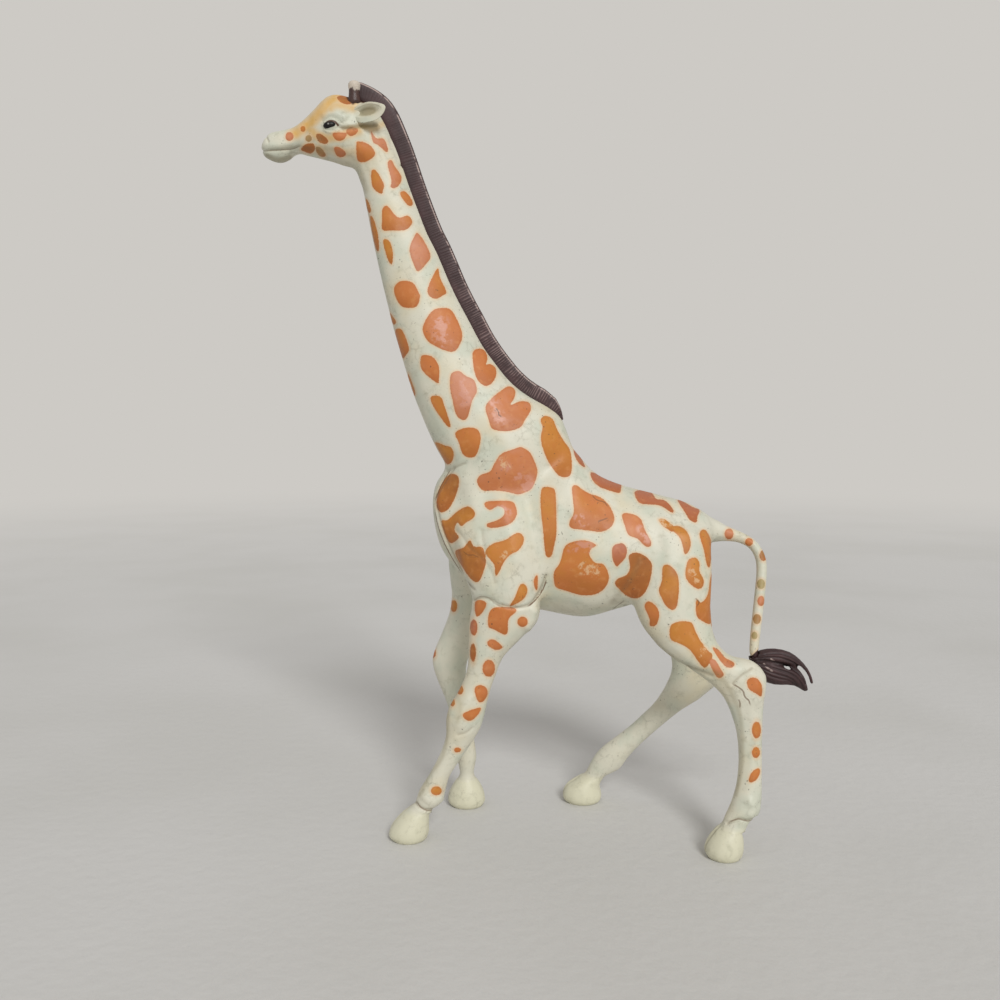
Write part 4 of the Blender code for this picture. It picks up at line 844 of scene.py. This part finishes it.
plastic, flow = new_material("sprayed_pvc")
spot = flow.layer("spot") + (flow.cloud(2600, 2) - 0.5) * 1.1
tone = flow.layer("tone") + (flow.cloud(330, 3) - 0.5) * 0.5
in_spot = spot.fade(-0.35, 0.35)
halo = spot.fade(-3.2, 0.4)
rim = spot.fade(3.2, 0.6)
low_in_spot = flow.layer("fall").fade(0.35, 1.0)
crease = flow.layer("crease").fade(0.12, 0.9)
pink = (flow.layer("pink") * flow.cloud(520, 4, 0.6).fade(0.38, 0.6)).fade(0.12, 0.55)
rubbed = (flow.layer("rubbed") * flow.cloud(900, 4, 0.7).fade(0.42, 0.62)).fade(0.1, 0.5)
# a random mottle of grime over the hide
grime_and_shade = flow.cloud(420, 5, 0.65).fade(0.52, 0.74)
specks = flow.cloud(1900, 2, 0.4).fade(0.68, 0.74) * flow.cloud(160, 2).fade(0.42, 0.62)
specks = specks * (1 - flow.layer("cream") * 0.8)
bend = flow.node("TexNoise", {}, {"Scale": 500, "Detail": 3}, output="Color")
bend = flow.node("VectorMath", {"operation": "SCALE"}, {0: bend, "Scale": 0.0016})
bent = flow.node("VectorMath", {"operation": "ADD"}, {0: flow.place(), 1: bend})
cells = flow.node("TexVoronoi", {"feature": "DISTANCE_TO_EDGE"}, {"Vector": bent, "Scale": 480})
crackle = cells.fade(0.07, 0.01) * flow.cloud(190, 4, 0.7).fade(0.5, 0.66)
line = flow.layer("line") + (flow.cloud(1400, 2) - 0.5) * 1.2
ink = (line * line).fade(1.1, 0.12) * flow.layer("ink")
hide = flow.colour(tint(215, 212, 194)).paint(flow.cloud(85, 3).fade(0.45, 0.7) * 0.7, tint(213, 203, 173))
hide = hide.paint(flow.cloud(130, 4).fade(0.44, 0.66) * 0.7, tint(197, 202, 184))
hide = hide.paint(flow.layer("cream"), tint(214, 211, 186))
hide = hide.paint(grime_and_shade * 0.3, tint(150, 148, 122)).paint(crackle * 0.4, tint(112, 106, 84))
hide = hide.paint(flow.layer("wash").fade(0.1, 1.1) * (0.55 + flow.cloud(420, 4) * 0.6), tint(216, 168, 84))
hide = hide.paint(halo * 0.45, tint(228, 180, 128))
sprayed = flow.colour(tint(197, 128, 46)).paint(tone.fade(0.1, 0.6), tint(199, 118, 59))
sprayed = sprayed.paint(tone.fade(0.55, 1.05), tint(203, 136, 103))
sprayed = sprayed.paint(tone.fade(1.2, 1.45), tint(178, 104, 68))
sprayed = sprayed.paint(tone.fade(-0.05, -0.45), tint(163, 98, 40))
sprayed = sprayed.paint(low_in_spot * 0.6, tint(168, 92, 36)).paint(rim * 0.28, tint(176, 98, 42))
sprayed = sprayed.paint(flow.cloud(700, 4).fade(0.5, 0.78) * 0.32, tint(218, 154, 94))
sprayed = sprayed.paint(pink * 0.7, tint(206, 146, 124)).paint(rubbed * 0.55, tint(222, 172, 116))
sprayed = sprayed.paint(tone.fade(-0.7, -1.15) * 0.9, tint(170, 156, 108))
sprayed = sprayed.paint(tone.fade(2, 2.4), tint(60, 37, 37))
coat = hide.paint(in_spot * (1 - rubbed * 0.35), sprayed)
# olive painted shade, with a little grime
coat = coat.paint(flow.layer("olive").fade(0.1, 1) * 0.62, tint(128, 112, 66))
# brown paint at the roots of the horns, and painted shade over and behind the eye
coat = coat.paint(flow.layer("brown").fade(0.25, 0.75), tint(84, 50, 30))
# the folds darken with grime and painted shade
coat = coat.paint(crease * 0.34, tint(118, 98, 66)).paint(ink, tint(102, 68, 38))
coat = coat.paint(specks * 0.75, tint(62, 54, 44))
grain = flow.cloud(3600, 3) * 0.30 + flow.cloud(900, 3) * 0.42 + in_spot * 0.22 - specks * 0.3
coat_with(flow, coat, 0.48 + grime_and_shade * 0.12 - pink * 0.1 - rubbed * 0.14 + crease * 0.1, grain, 0.00006)

# The cuts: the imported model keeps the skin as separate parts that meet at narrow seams. The skin is
# cut at the same planes, the cut ends are closed, and each part keeps the shading of the whole.
# A seam: its front and back in metres, x and height
NECK_SEAM = ((-0.02104, 0.08626), (0.00816, 0.0949))
HEAD_SEAM = ((-0.04097, 0.15314), (-0.03065, 0.1573))
TAIL_SEAM = ((0.04404, 0.07342), (0.04313, 0.06774))
LEG_SEAMS = {"left_fore_leg": ((-0.01445, 0.05605), (0.00174, 0.05625)),
             "right_fore_leg": ((-0.02004, 0.05345), (-0.00809, 0.05225)),
             "left_hind_leg": ((0.0275, 0.04606), (0.0412, 0.04754)),
             "right_hind_leg": ((0.03212, 0.04373), (0.04556, 0.04436))}
HOOF_SEAMS = {"left_fore_hoof": ((-0.02867, 0.00735), (-0.02369, 0.0063)),
              "right_fore_hoof": ((-0.01803, 0.00756), (-0.01455, 0.00756)),
              "left_hind_hoof": ((0.0414, 0.00693), (0.04663, 0.00587)),
              "right_hind_hoof": ((0.01391, 0.00693), (0.01864, 0.00629))}
# Where the legs part from the body and from each other, out from the middle and along it
INNER_WALL = {"left_fore_leg": 0.0040, "right_fore_leg": 0.0039,
              "left_hind_leg": 0.0042, "right_hind_leg": 0.0044}
FORE_END, HIND_START = 0.0065, 0.012
FAR_SHIN_TOP, FAR_HOOF_FRONT = 0.03, -0.005
SLICE_BAND = 0.001
TAIL_ROOT_HEIGHT = 0.0668
TAIL_FRONT = 0.048
TAIL_SIDE = -0.0085


def beyond(places, seam):
    """How far above a seam each point lies, or behind it for the tail's."""
    (front, low), (back, high) = seam
    normal = np.array((low - high, back - front)) / np.hypot(back - front, high - low)
    return (places[:, (0, 2)] - (front, low)) @ normal


def on_leg(places, name):
    """Which points lie on the outer side of a leg's inner wall, at its end of the body."""
    side = -1 if name.startswith("left") else 1
    wall = INNER_WALL[name.replace("hoof", "leg")]
    end = places[:, 0] < FORE_END if "fore" in name else places[:, 0] > HIND_START
    if "right_hind" in name:
        end |= (places[:, 2] < FAR_SHIN_TOP) & (places[:, 0] > FAR_HOOF_FRONT)
    return ((places[:, 1] - MIDDLE) * side > wall) & end


def on_tail(places):
    low = (places[:, 0] > TAIL_FRONT) & (places[:, 1] > TAIL_SIDE)
    return (beyond(places, TAIL_SEAM) > 0) & ((places[:, 2] > TAIL_ROOT_HEIGHT) | low)


def on_torso(places):
    result = (beyond(places, NECK_SEAM) < 0) & ~on_tail(places)
    for name, seam in LEG_SEAMS.items():
        result &= ~((beyond(places, seam) < 0) & on_leg(places, name))
    return result


def part_keeper(name):
    if name == "torso":
        return on_torso
    if name == "tail":
        return on_tail
    if name == "neck":
        return lambda places: (beyond(places, NECK_SEAM) > 0) & (beyond(places, HEAD_SEAM) < 0)
    if name == "head":
        return lambda places: beyond(places, HEAD_SEAM) > 0
    if "hoof" in name:
        return lambda places: (beyond(places, HOOF_SEAMS[name]) < 0) & on_leg(places, name)
    hoof = HOOF_SEAMS[name.replace("leg", "hoof")]
    return lambda places: ((beyond(places, LEG_SEAMS[name]) < 0) & (beyond(places, hoof) > 0)
                           & on_leg(places, name) & ~on_tail(places))


def slice_at(shell, point, normal, reach):
    """Cut the faces round a plane, within a reach of a point, without parting them."""
    near = [face for face in shell.faces for away in (face.verts[0].co - point,)
            if abs(away.dot(normal)) < SLICE_BAND and away.length < reach]
    geometry = set(near)
    for face in near:
        geometry.update(face.edges, face.verts)
    bmesh.ops.bisect_plane(shell, geom=list(geometry), dist=0.000001, plane_co=point, plane_no=normal)


def seam_plane(seam):
    """The middle of a seam and the direction across it."""
    (front, low), (back, high) = seam
    middle = Vector(((front + back) / 2, MIDDLE, (low + high) / 2))
    return middle, Vector((low - high, 0, back - front)).normalized()


def add_layers(mesh, layers):
    for name, values in layers.items():
        layer = mesh.attributes.new(name, "FLOAT", "POINT")
        layer.data.foreach_set("value", np.asarray(values, np.float32))


def finish_piece(shell, name, material, node, layers):
    """Turn a shell into a finished piece that rides on the body and stands for a node."""
    finished = mesh_of(name, shell)
    for face in finished.polygons:
        face.use_smooth = True
    add_layers(finished, layers)
    finished.materials.append(material)
    piece = new_object(name, finished)
    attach(piece, "root")
    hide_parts(node)
    return finished


FORM = ("form_x", "form_y", "form_z")


def skin_parts(skin, names, seams, walls=()):
    """Cut a skin and turn the named parts into finished pieces."""
    add_layers(skin.mesh, {**skin.layers, **dict(zip(FORM, skin.normals().T))})
    whole = bmesh.new()
    whole.from_mesh(skin.mesh)
    for seam, reach in seams:
        slice_at(whole, *seam_plane(seam), reach)
    for name in walls:
        point = seam_plane(LEG_SEAMS[name])[0]
        point.y = MIDDLE + INNER_WALL[name] * (-1 if name.startswith("left") else 1)
        slice_at(whole, point, Vector((0, 1, 0)), WALL_REACH)
    middles = np.array([face.calc_center_median() for face in whole.faces])
    for name in names:
        part = whole.copy()
        kept = part_keeper(name)(middles)
        part.faces.ensure_lookup_table()
        unwanted = [part.faces[spot] for spot in np.flatnonzero(~kept)]
        bmesh.ops.delete(part, geom=unwanted, context="FACES")
        open_edges = [edge for edge in part.edges if edge.is_boundary]
        caps = bmesh.ops.holes_fill(part, edges=open_edges, sides=0)["faces"]
        for cap in caps:
            cap.material_index = 1
        bmesh.ops.triangulate(part, faces=caps)
        finished = finish_piece(part, name + "_skin", plastic, name, {})
        form = np.empty((len(finished.vertices), 3), np.float32)
        for axis, layer in enumerate(FORM):
            values = np.empty(len(form), np.float32)
            finished.attributes[layer].data.foreach_get("value", values)
            form[:, axis] = values
            finished.attributes.remove(finished.attributes[layer])
        form /= np.linalg.norm(form, axis=1)[:, None]
        corners = np.empty(len(finished.loops), int)
        finished.loops.foreach_get("vertex_index", corners)
        shaded = form[corners]
        for face in finished.polygons:
            if face.material_index == 1:
                shaded[list(face.loop_indices)] = face.normal
                face.material_index = 0
        finished.normals_split_custom_set([tuple(normal) for normal in shaded])
    whole.free()


SEAM_REACH, TAIL_REACH, WALL_REACH = 0.022, 0.009, 0.016
neck_cut, head_cut, tail_cut = (NECK_SEAM, 0.03), (HEAD_SEAM, 0.02), (TAIL_SEAM, TAIL_REACH)
leg_cuts = [(seam, SEAM_REACH) for seam in LEG_SEAMS.values()]
hoof_cuts = [(seam, SEAM_REACH) for seam in HOOF_SEAMS.values()]
skin_parts(trunk, ["torso", "neck"], [neck_cut, head_cut, tail_cut] + leg_cuts, LEGS)
skin_parts(limbs, LEGS + HOOVES + ["tail"], [tail_cut] + leg_cuts + hoof_cuts, LEGS)
skin_parts(face, ["head"], [head_cut])

# The mane: a slab of the same PVC sprayed dark brown, from the withers to the brow. Fine upright ribs
# stand for its hair, and the paint has worn to a pale broken line along its crest.
# Its rise over the hide in millimetres, by the share of its length
MANE_RISE = ((0, 0.4), (0.02, 1.4), (0.045, 2.7), (0.08, 3.3), (0.12, 3.45), (0.8, 3.45), (0.88, 3.7),
             (0.95, 3.95), (1, 4.1))
# Round the slab: sideways as a share of its half width, and upwards as a share of its rise
MANE_SECTION = ((0, -0.3), (-0.9, -0.3), (-1.04, -0.1), (-1.03, 0.15), (-1, 0.4), (-0.96, 0.62), (-0.9, 0.8),
                (-0.811, 0.87), (-0.72, 0.93), (-0.4, 0.985), (0, 1), (0.4, 0.985), (0.72, 0.93),
                (0.811, 0.87), (0.9, 0.8), (0.96, 0.62), (1, 0.4), (1.03, 0.15), (1.04, -0.1), (0.9, -0.3),
                (0, -0.3))
MANE_HALF_WIDTH = 0.00155
MANE_RIBS = 148
RIB_STEPS = 6
RIB_DEPTH = 0.00013
MANE_ROOT_DEPTH = 0.003
CREST_UP = 0.87


def even_points(line, count):
    """Points at even steps along a line."""
    line = np.array(line)
    lengths = along_line(line)
    steps = np.linspace(0, lengths[-1], count)
    return np.column_stack([np.interp(steps, lengths, line[:, axis]) for axis in range(3)])


stations = MANE_RIBS * RIB_STEPS + 1
spine = even_points(mane_line, stations)
along = np.gradient(spine, axis=0)
along /= np.linalg.norm(along, axis=1)[:, None]
upward = np.column_stack((-along[:, 2], np.zeros(stations), along[:, 0]))
upward *= np.sign(upward[:, :1] + upward[:, 2:])
shares = np.linspace(0, 1, stations)
upward += (np.array((0, 0, 1)) - upward) * np.clip((shares - 0.93) / 0.07, 0, 1)[:, None] ** 2
rise = np.interp(shares, *np.transpose(MANE_RISE)) / 1000
around = len(MANE_SECTION)
slab = bmesh.new()
bmesh.ops.create_grid(slab, x_segments=stations - 1, y_segments=around - 1, size=0.5)
rib_layer, crest_layer, low_layer = map(slab.verts.layers.float.new, ("rib", "crest", "low"))
for vert in slab.verts:
    station = round((vert.co.x + 0.5) * (stations - 1))
    sideways, up = MANE_SECTION[round((vert.co.y + 0.5) * (around - 1))]
    # the ribs are a little uneven in pitch and depth, and shallow over the crown
    pitch = station / RIB_STEPS + 0.3 * np.sin(station / 17) + 0.2 * np.sin(station / 5)
    fresh = 0.75 + 0.25 * np.sin(station / 9 + 1.7 * np.sin(station / 41))
    crown = np.clip((shares[station] - 0.84) / 0.08, 0, 1)
    wave = 1 - (1 - abs(np.sin(pi * pitch)) ** 0.5) * fresh * (1 - 0.6 * crown)
    groove = RIB_DEPTH * (1 - wave) * (0 if up < 0 else 1)
    half = MANE_HALF_WIDTH * np.clip(0.25 + shares[station] / 0.05, 0, 1) ** 0.6 - groove
    lift = up * (rise[station] if up > 0 else MANE_ROOT_DEPTH) - (groove * 0.6 if up > 0.7 else 0)
    vert.co = Vector(spine[station] + upward[station] * lift) + Vector((0, sideways * half, 0))
    vert[rib_layer] = wave
    vert[crest_layer] = max(0, 1 - abs(up - CREST_UP) / 0.1)
    vert[low_layer] = np.clip((0.6 - shares[station]) / 0.3, 0, 1) * np.clip(up * 4, 0, 1)
bmesh.ops.remove_doubles(slab, verts=slab.verts, dist=0.00001)
bmesh.ops.holes_fill(slab, edges=[edge for edge in slab.edges if edge.is_boundary], sides=0)
bmesh.ops.recalc_face_normals(slab, faces=slab.faces)
for vert in slab.verts:
    vert.co.z = min(vert.co.z, cad_box[1].z)

hair, flow = new_material("sprayed_hair")
ribs = flow.layer("rib")
# pale paint on the crest: worn paint on the mane, painted highlights on the tuft
crest_wear_and_highlight = flow.layer("crest").fade(0.35, 0.8) * ribs.fade(0.3, 0.8)
crest_wear_and_highlight = crest_wear_and_highlight * flow.cloud(600, 3).fade(0.34, 0.5) * flow.cloud(170, 3).fade(0.25, 0.45)
combed = ribs.fade(0.9, 1) * flow.layer("low") * flow.cloud(520, 4).fade(0.36, 0.6)
brown = flow.colour(tint(56, 34, 34)).paint(flow.cloud(240, 4).fade(0.4, 0.7) * 0.6, tint(76, 48, 48))
brown = brown.paint(combed * 0.6, tint(150, 124, 120))
# painted shade darkens the grooves between the ribs, and the tuft's furrows
brown = brown.paint((1 - ribs).fade(0.3, 1) * 0.5, tint(34, 20, 20)).paint(crest_wear_and_highlight * 0.85, tint(188, 168, 160))
coat_with(flow, brown, 0.46 + flow.cloud(500, 3) * 0.22 + crest_wear_and_highlight * 0.15, flow.cloud(2600, 3) * 0.5, 0.00006)
finish_piece(slab, "mane_slab", hair, "mane", {})

# The tuft: locks of hair at the tail's end, sprayed the same brown as the mane. Long furrows part the
# hairs, darkened with painted shade, two narrow slits open between the locks, and two ridges carry
# painted highlights.
# Each furrow: width in pixels, depth in millimetres, pixels
LOCK_FURROWS = (
    (1.1, 0.32, 752, 657.5, 766, 654, 782, 653.5, 795, 659, 803, 667, 808, 677),
    (1.2, 0.34, 751, 660, 766, 657.5, 780, 658, 793, 663, 802, 671, 807, 681),
    (1.3, 0.38, 752, 661.5, 766, 661, 778, 663.5, 790, 667, 800, 674, 806, 684),
    (1.1, 0.32, 753, 663, 766, 665.5, 778, 669.5, 790, 673.5, 799, 680, 803, 688),
    (1.1, 0.3, 757, 666, 767, 671, 779, 675, 790, 678.5, 796, 684, 800, 690),
    (1.0, 0.26, 762, 671, 770, 676, 780, 679, 789, 681, 795, 686),
    (1.0, 0.24, 754, 655.5, 768, 650.8, 784, 650.8, 797, 656, 806, 667),
)
# The outlines of the two slits that open between its locks, in the picture
LOCK_SLITS = (
    (780, 663.8, 784.3, 664.8, 789, 666.7, 793, 669.2, 794, 670.6, 791.8, 670.1, 787.6, 668.3,
     783.3, 666.2),
    (794.3, 663.2, 798.8, 665.9, 803.3, 670, 806.9, 675.4, 809.2, 681.3, 811, 691, 809.1, 691, 807.2, 682.4,
     804.8, 676.4, 801.3, 671.4, 797.7, 667.3),
)
LOCK_FRONT, LOCK_BACK = -0.012, -0.001
blades = bmesh.new()
for outline in LOCK_SLITS:
    pixels = rounded(outline, closed=True)
    rings = [[blades.verts.new(at_pixel(*pixel, y)) for pixel in pixels] for y in (LOCK_FRONT, LOCK_BACK)]
    for ring in rings:
        blades.faces.new(ring)
    for spot in range(len(pixels)):
        blades.faces.new((rings[0][spot - 1], rings[0][spot], rings[1][spot], rings[1][spot - 1]))
bmesh.ops.recalc_face_normals(blades, faces=blades.faces)
blade = new_object("slit_blades", mesh_of("slit_blades", blades))
locks = Skin(["tail_tuft"], [], 0.0002, lambda place: True, blade)
bpy.data.objects.remove(blade)
locks.settle()
places, normals = locks.places(), locks.normals()
locks.pixels = pixels_of(places, mirrored=False)
locks.seen = np.ones(len(places))
locks.side = np.full(len(places), -1)
furrow = np.zeros(len(places))
for width, depth, *points in LOCK_FURROWS:
    furrow = np.maximum(furrow, near_line(locks, points, width, LEFT, "") * depth)
flank = np.clip(np.abs(normals[:, 1]) * 1.6, 0.15, 1)
locks.move(places - normals * (furrow * flank / 1000)[:, None])
# painted highlights along two ridges of the locks
gleam = near_line(locks, ((764, 664), (768, 668), (772, 671)), 1.2, LEFT, "")
gleam = np.maximum(gleam, near_line(locks, ((771, 659), (775, 662), (778, 664)), 1.0, LEFT, ""))
tuft = bmesh.new()
tuft.from_mesh(locks.mesh)
finish_piece(tuft, "tail_locks", hair, "tail_tuft",
             {"rib": 1 - np.clip(furrow / 0.3, 0, 1), "crest": gleam})

# The ears: moulded with the head, each a leaf with a rolled pale rim round a hollow that faces outwards
# and a little forwards. The hollow is darkened olive as painted shade.
EAR_OUTLINE = (352, 106, 357, 102.8, 365, 102, 374, 102.6, 381, 104.4, 385.3, 107, 385.8, 110.5, 382.5, 116,
               376, 120.8, 369, 122, 361, 121.6, 354.5, 117.5, 351, 112)
EAR_MIDDLE = np.array((368, 111))
EAR_DEPTH = -0.0062
EAR_ROOT_OUT, EAR_SPREAD, EAR_HALF_LENGTH = 0.0061, 0.0036, 0.0078
EAR_CUP, EAR_HOLLOW = 0.0009, 0.0009
EAR_HALF_THICKNESS = 0.00055
HOLLOW_MIDDLE, HOLLOW_HALF = np.array((366.5, 110)), np.array((13, 5.2))
rim = rounded(EAR_OUTLINE, closed=True) - EAR_MIDDLE
rim_angles = np.arctan2(-rim[:, 1], rim[:, 0])
order = np.argsort(rim_angles)
rim_angles, rim_reaches = rim_angles[order], np.linalg.norm(rim, axis=1)[order]
for side, name in ((-1, "left_ear"), (1, "right_ear")):
    leaf = bmesh.new()
    bmesh.ops.create_icosphere(leaf, subdivisions=6, radius=1)
    hollow_shade_layer = leaf.verts.layers.float.new("olive")
    for vert in leaf.verts:
        angle = np.arctan2(vert.co.z, vert.co.x)
        ring = np.hypot(vert.co.x, vert.co.z)
        outward = vert.co.y < 0
        reach = np.interp(angle, rim_angles, rim_reaches, period=2 * pi) * ring
        pixel = EAR_MIDDLE + (reach * np.cos(angle), -reach * np.sin(angle))
        place = at_pixel(*pixel, EAR_DEPTH)
        along_ear = (place.x - at_pixel(*EAR_MIDDLE, EAR_DEPTH).x) / EAR_HALF_LENGTH
        inward = np.hypot(*((pixel - HOLLOW_MIDDLE) / HOLLOW_HALF))
        hollow = np.clip((1.2 - inward) / 0.7, 0, 1) ** 0.8 * (1 if outward else 0.4)
        out = EAR_ROOT_OUT + EAR_SPREAD * along_ear + EAR_CUP * (np.sin(angle) * ring) ** 2
        out -= hollow * EAR_HOLLOW + vert.co.y * EAR_HALF_THICKNESS * (1 if outward else 1.4)
        # painted shade in the hollow
        vert[hollow_shade_layer] = np.clip((1.1 - inward) / 0.5, 0, 1) * (0.9 if outward else 0)
        vert.co = Vector((place.x, MIDDLE + side * out, place.z))
    bmesh.ops.recalc_face_normals(leaf, faces=leaf.faces)
    bare = {layer: np.zeros(len(leaf.verts)) for layer in trunk.layers if layer != "olive"}
    bare["spot"] = np.full(len(leaf.verts), FAR_FROM_SPOT)
    finish_piece(leaf, name + "_leaf", plastic, name, bare)

# The horns: two short knobs between the ears, sprayed with the mane. The paint has worn off their
# tips, down to the pale plastic.
# From the root to the tip: radius in millimetres, and height as a share of the whole
HORN_PROFILE = ((0, 0), (1.42, 0), (1.38, 0.25), (1.28, 0.5), (1.3, 0.64), (1.42, 0.78), (1.36, 0.9),
                (1.0, 0.97), (0.5, 1), (0, 1))
horn_paint, flow = new_material("worn_horn")
tip = (flow.layer("height") + (flow.cloud(900, 4) - 0.5) * 0.5).fade(0.52, 0.66)
horn = flow.colour(tint(66, 44, 40)).paint(flow.cloud(500, 3).fade(0.4, 0.7) * 0.5, tint(98, 66, 52))
horn = horn.paint(tip * 0.9, tint(214, 202, 186))
coat_with(flow, horn, 0.4 + tip * 0.12, flow.cloud(2200, 4), 0.00012)
for name in ("left_ossicone", "right_ossicone"):
    low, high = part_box(name)
    middle = (low + high) / 2
    horn = bmesh.new()
    edge = [horn.verts.new(Vector((radius / 1000, 0, low.z + share * (high.z - low.z))))
            for radius, share in HORN_PROFILE]
    for start, end in zip(edge, edge[1:]):
        horn.edges.new((start, end))
    bmesh.ops.spin(horn, geom=horn.verts[:] + horn.edges[:], cent=(0, 0, 0), axis=(0, 0, 1), dvec=(0, 0, 0),
                   angle=2 * pi, steps=32, use_merge=True)
    bmesh.ops.remove_doubles(horn, verts=horn.verts, dist=0.00001)
    bmesh.ops.subdivide_edges(horn, edges=horn.edges, cuts=1, use_grid_fill=True, smooth=0.6)
    for vert in horn.verts:
        vert.co += Vector((middle.x, middle.y, 0))
        vert.co.z = min(vert.co.z, high.z)
    bmesh.ops.recalc_face_normals(horn, faces=horn.faces)
    height = [(vert.co.z - low.z) / (high.z - low.z) for vert in horn.verts]
    finish_piece(horn, name.replace("ossicone", "horn"), horn_paint, name, {"height": height})

# The eyes: glossy black beads of paint on raised balls in the mould, each with a dot of white as a painted
# highlight, set under the brow.
EYE_GLINT = (328.2, 123.6)
eye_paint, flow = new_material("eye_gloss")
glint = flow.layer("glint")
black = flow.colour(tint(16, 12, 12)).paint(flow.cloud(900, 2).fade(0.5, 0.8) * 0.4, tint(44, 28, 22))
# a painted highlight
black = black.paint(glint * 0.7, tint(190, 188, 182))
coat_with(flow, black, 0.34 + flow.cloud(1200, 2) * 0.08 + glint * 0.2, flow.cloud(1500, 2), 0.00002)
eye_shader = eye_paint.node_tree.nodes["Principled BSDF"]
eye_shader.inputs["Specular IOR Level"].default_value = 0.3
for name in ("left_eye", "right_eye"):
    low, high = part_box(name)
    middle, half = (low + high) / 2, (high - low) / 2
    ball = bmesh.new()
    bmesh.ops.create_icosphere(ball, subdivisions=5, radius=1)
    for vert in ball.verts:
        tall = (vert.co.z + 0.12 * vert.co.x) * 0.9
        vert.co = middle + Vector((vert.co.x * half.x, vert.co.y * half.y, tall * half.z))
    spots = pixels_of(np.array([vert.co for vert in ball.verts]))
    outward = np.array([abs(vert.co.y - MIDDLE) for vert in ball.verts]) > abs(middle.y - MIDDLE)
    shine = np.clip(1.2 - np.linalg.norm(spots - EYE_GLINT, axis=1), 0, 1) * outward
    finish_piece(ball, name + "_bead", eye_paint, name, {"glint": shine})

# The ground and the lights: a plain pale table, a broad soft lamp to the right, in front and above,
# and an even pale room.
BACKDROP = tint(205, 202, 197)
ground = bmesh.new()
bmesh.ops.create_grid(ground, x_segments=8, y_segments=8, size=4)
floor = new_object("floor", mesh_of("floor", ground))
floor.location = (0, 0, -0.00002)
table_top, flow = new_material("pale_table")
pale = flow.colour(tint(208, 207, 204)).paint(flow.cloud(9, 4).fade(0.35, 0.7), tint(202, 201, 197))
coat_with(flow, pale, 0.62 + flow.cloud(60) * 0.1, flow.cloud(300, 4), 0.0002)
# seen from the camera alone, the far table fades into the room behind it
distance = flow.node("VectorMath", {"operation": "LENGTH"}, {0: flow.place()}, output="Value")
haze = flow.node("Emission", {}, {"Color": BACKDROP, "Strength": 1})
table_shader = Flow(flow.tree, flow.tree.nodes["Principled BSDF"].outputs["BSDF"])
share = distance.fade(0.3, 1.3) * flow.node("LightPath", output="Is Camera Ray")
mixed = flow.node("MixShader", {}, {0: share, 1: table_shader, 2: haze})
flow.tree.links.new(mixed.socket, flow.tree.nodes["Material Output"].inputs["Surface"])
floor.data.materials.append(table_top)

lamp_data = bpy.data.lights.new("soft_lamp", "SUN")
lamp_data.angle = 0.3
lamp_data.energy = 1.75
lamp = new_object("soft_lamp", lamp_data)
lamp.location = (0.30, -0.86, 0.72)
lamp.rotation_euler = (Vector((0, 0, 0.08)) - lamp.location).to_track_quat("-Z", "Y").to_euler()
room = bpy.data.worlds.new("room")
room.use_nodes = True
flow = Flow(room.node_tree)
walls = room.node_tree.nodes["Background"]
walls.inputs["Color"].default_value = tint(214, 212, 210)
walls.inputs["Strength"].default_value = 0.75
even_light = Flow(room.node_tree, walls.outputs["Background"])
behind = flow.node("Background", {}, {"Color": BACKDROP, "Strength": 1})
seen = flow.node("LightPath", output="Is Camera Ray")
mixed = flow.node("MixShader", {}, {0: seen, 1: even_light, 2: behind})
room.node_tree.links.new(mixed.socket, room.node_tree.nodes["World Output"].inputs["Surface"])
bpy.context.scene.world = room
bpy.context.scene.view_settings.view_transform = "Standard"

bpy.context.view_layer.update()
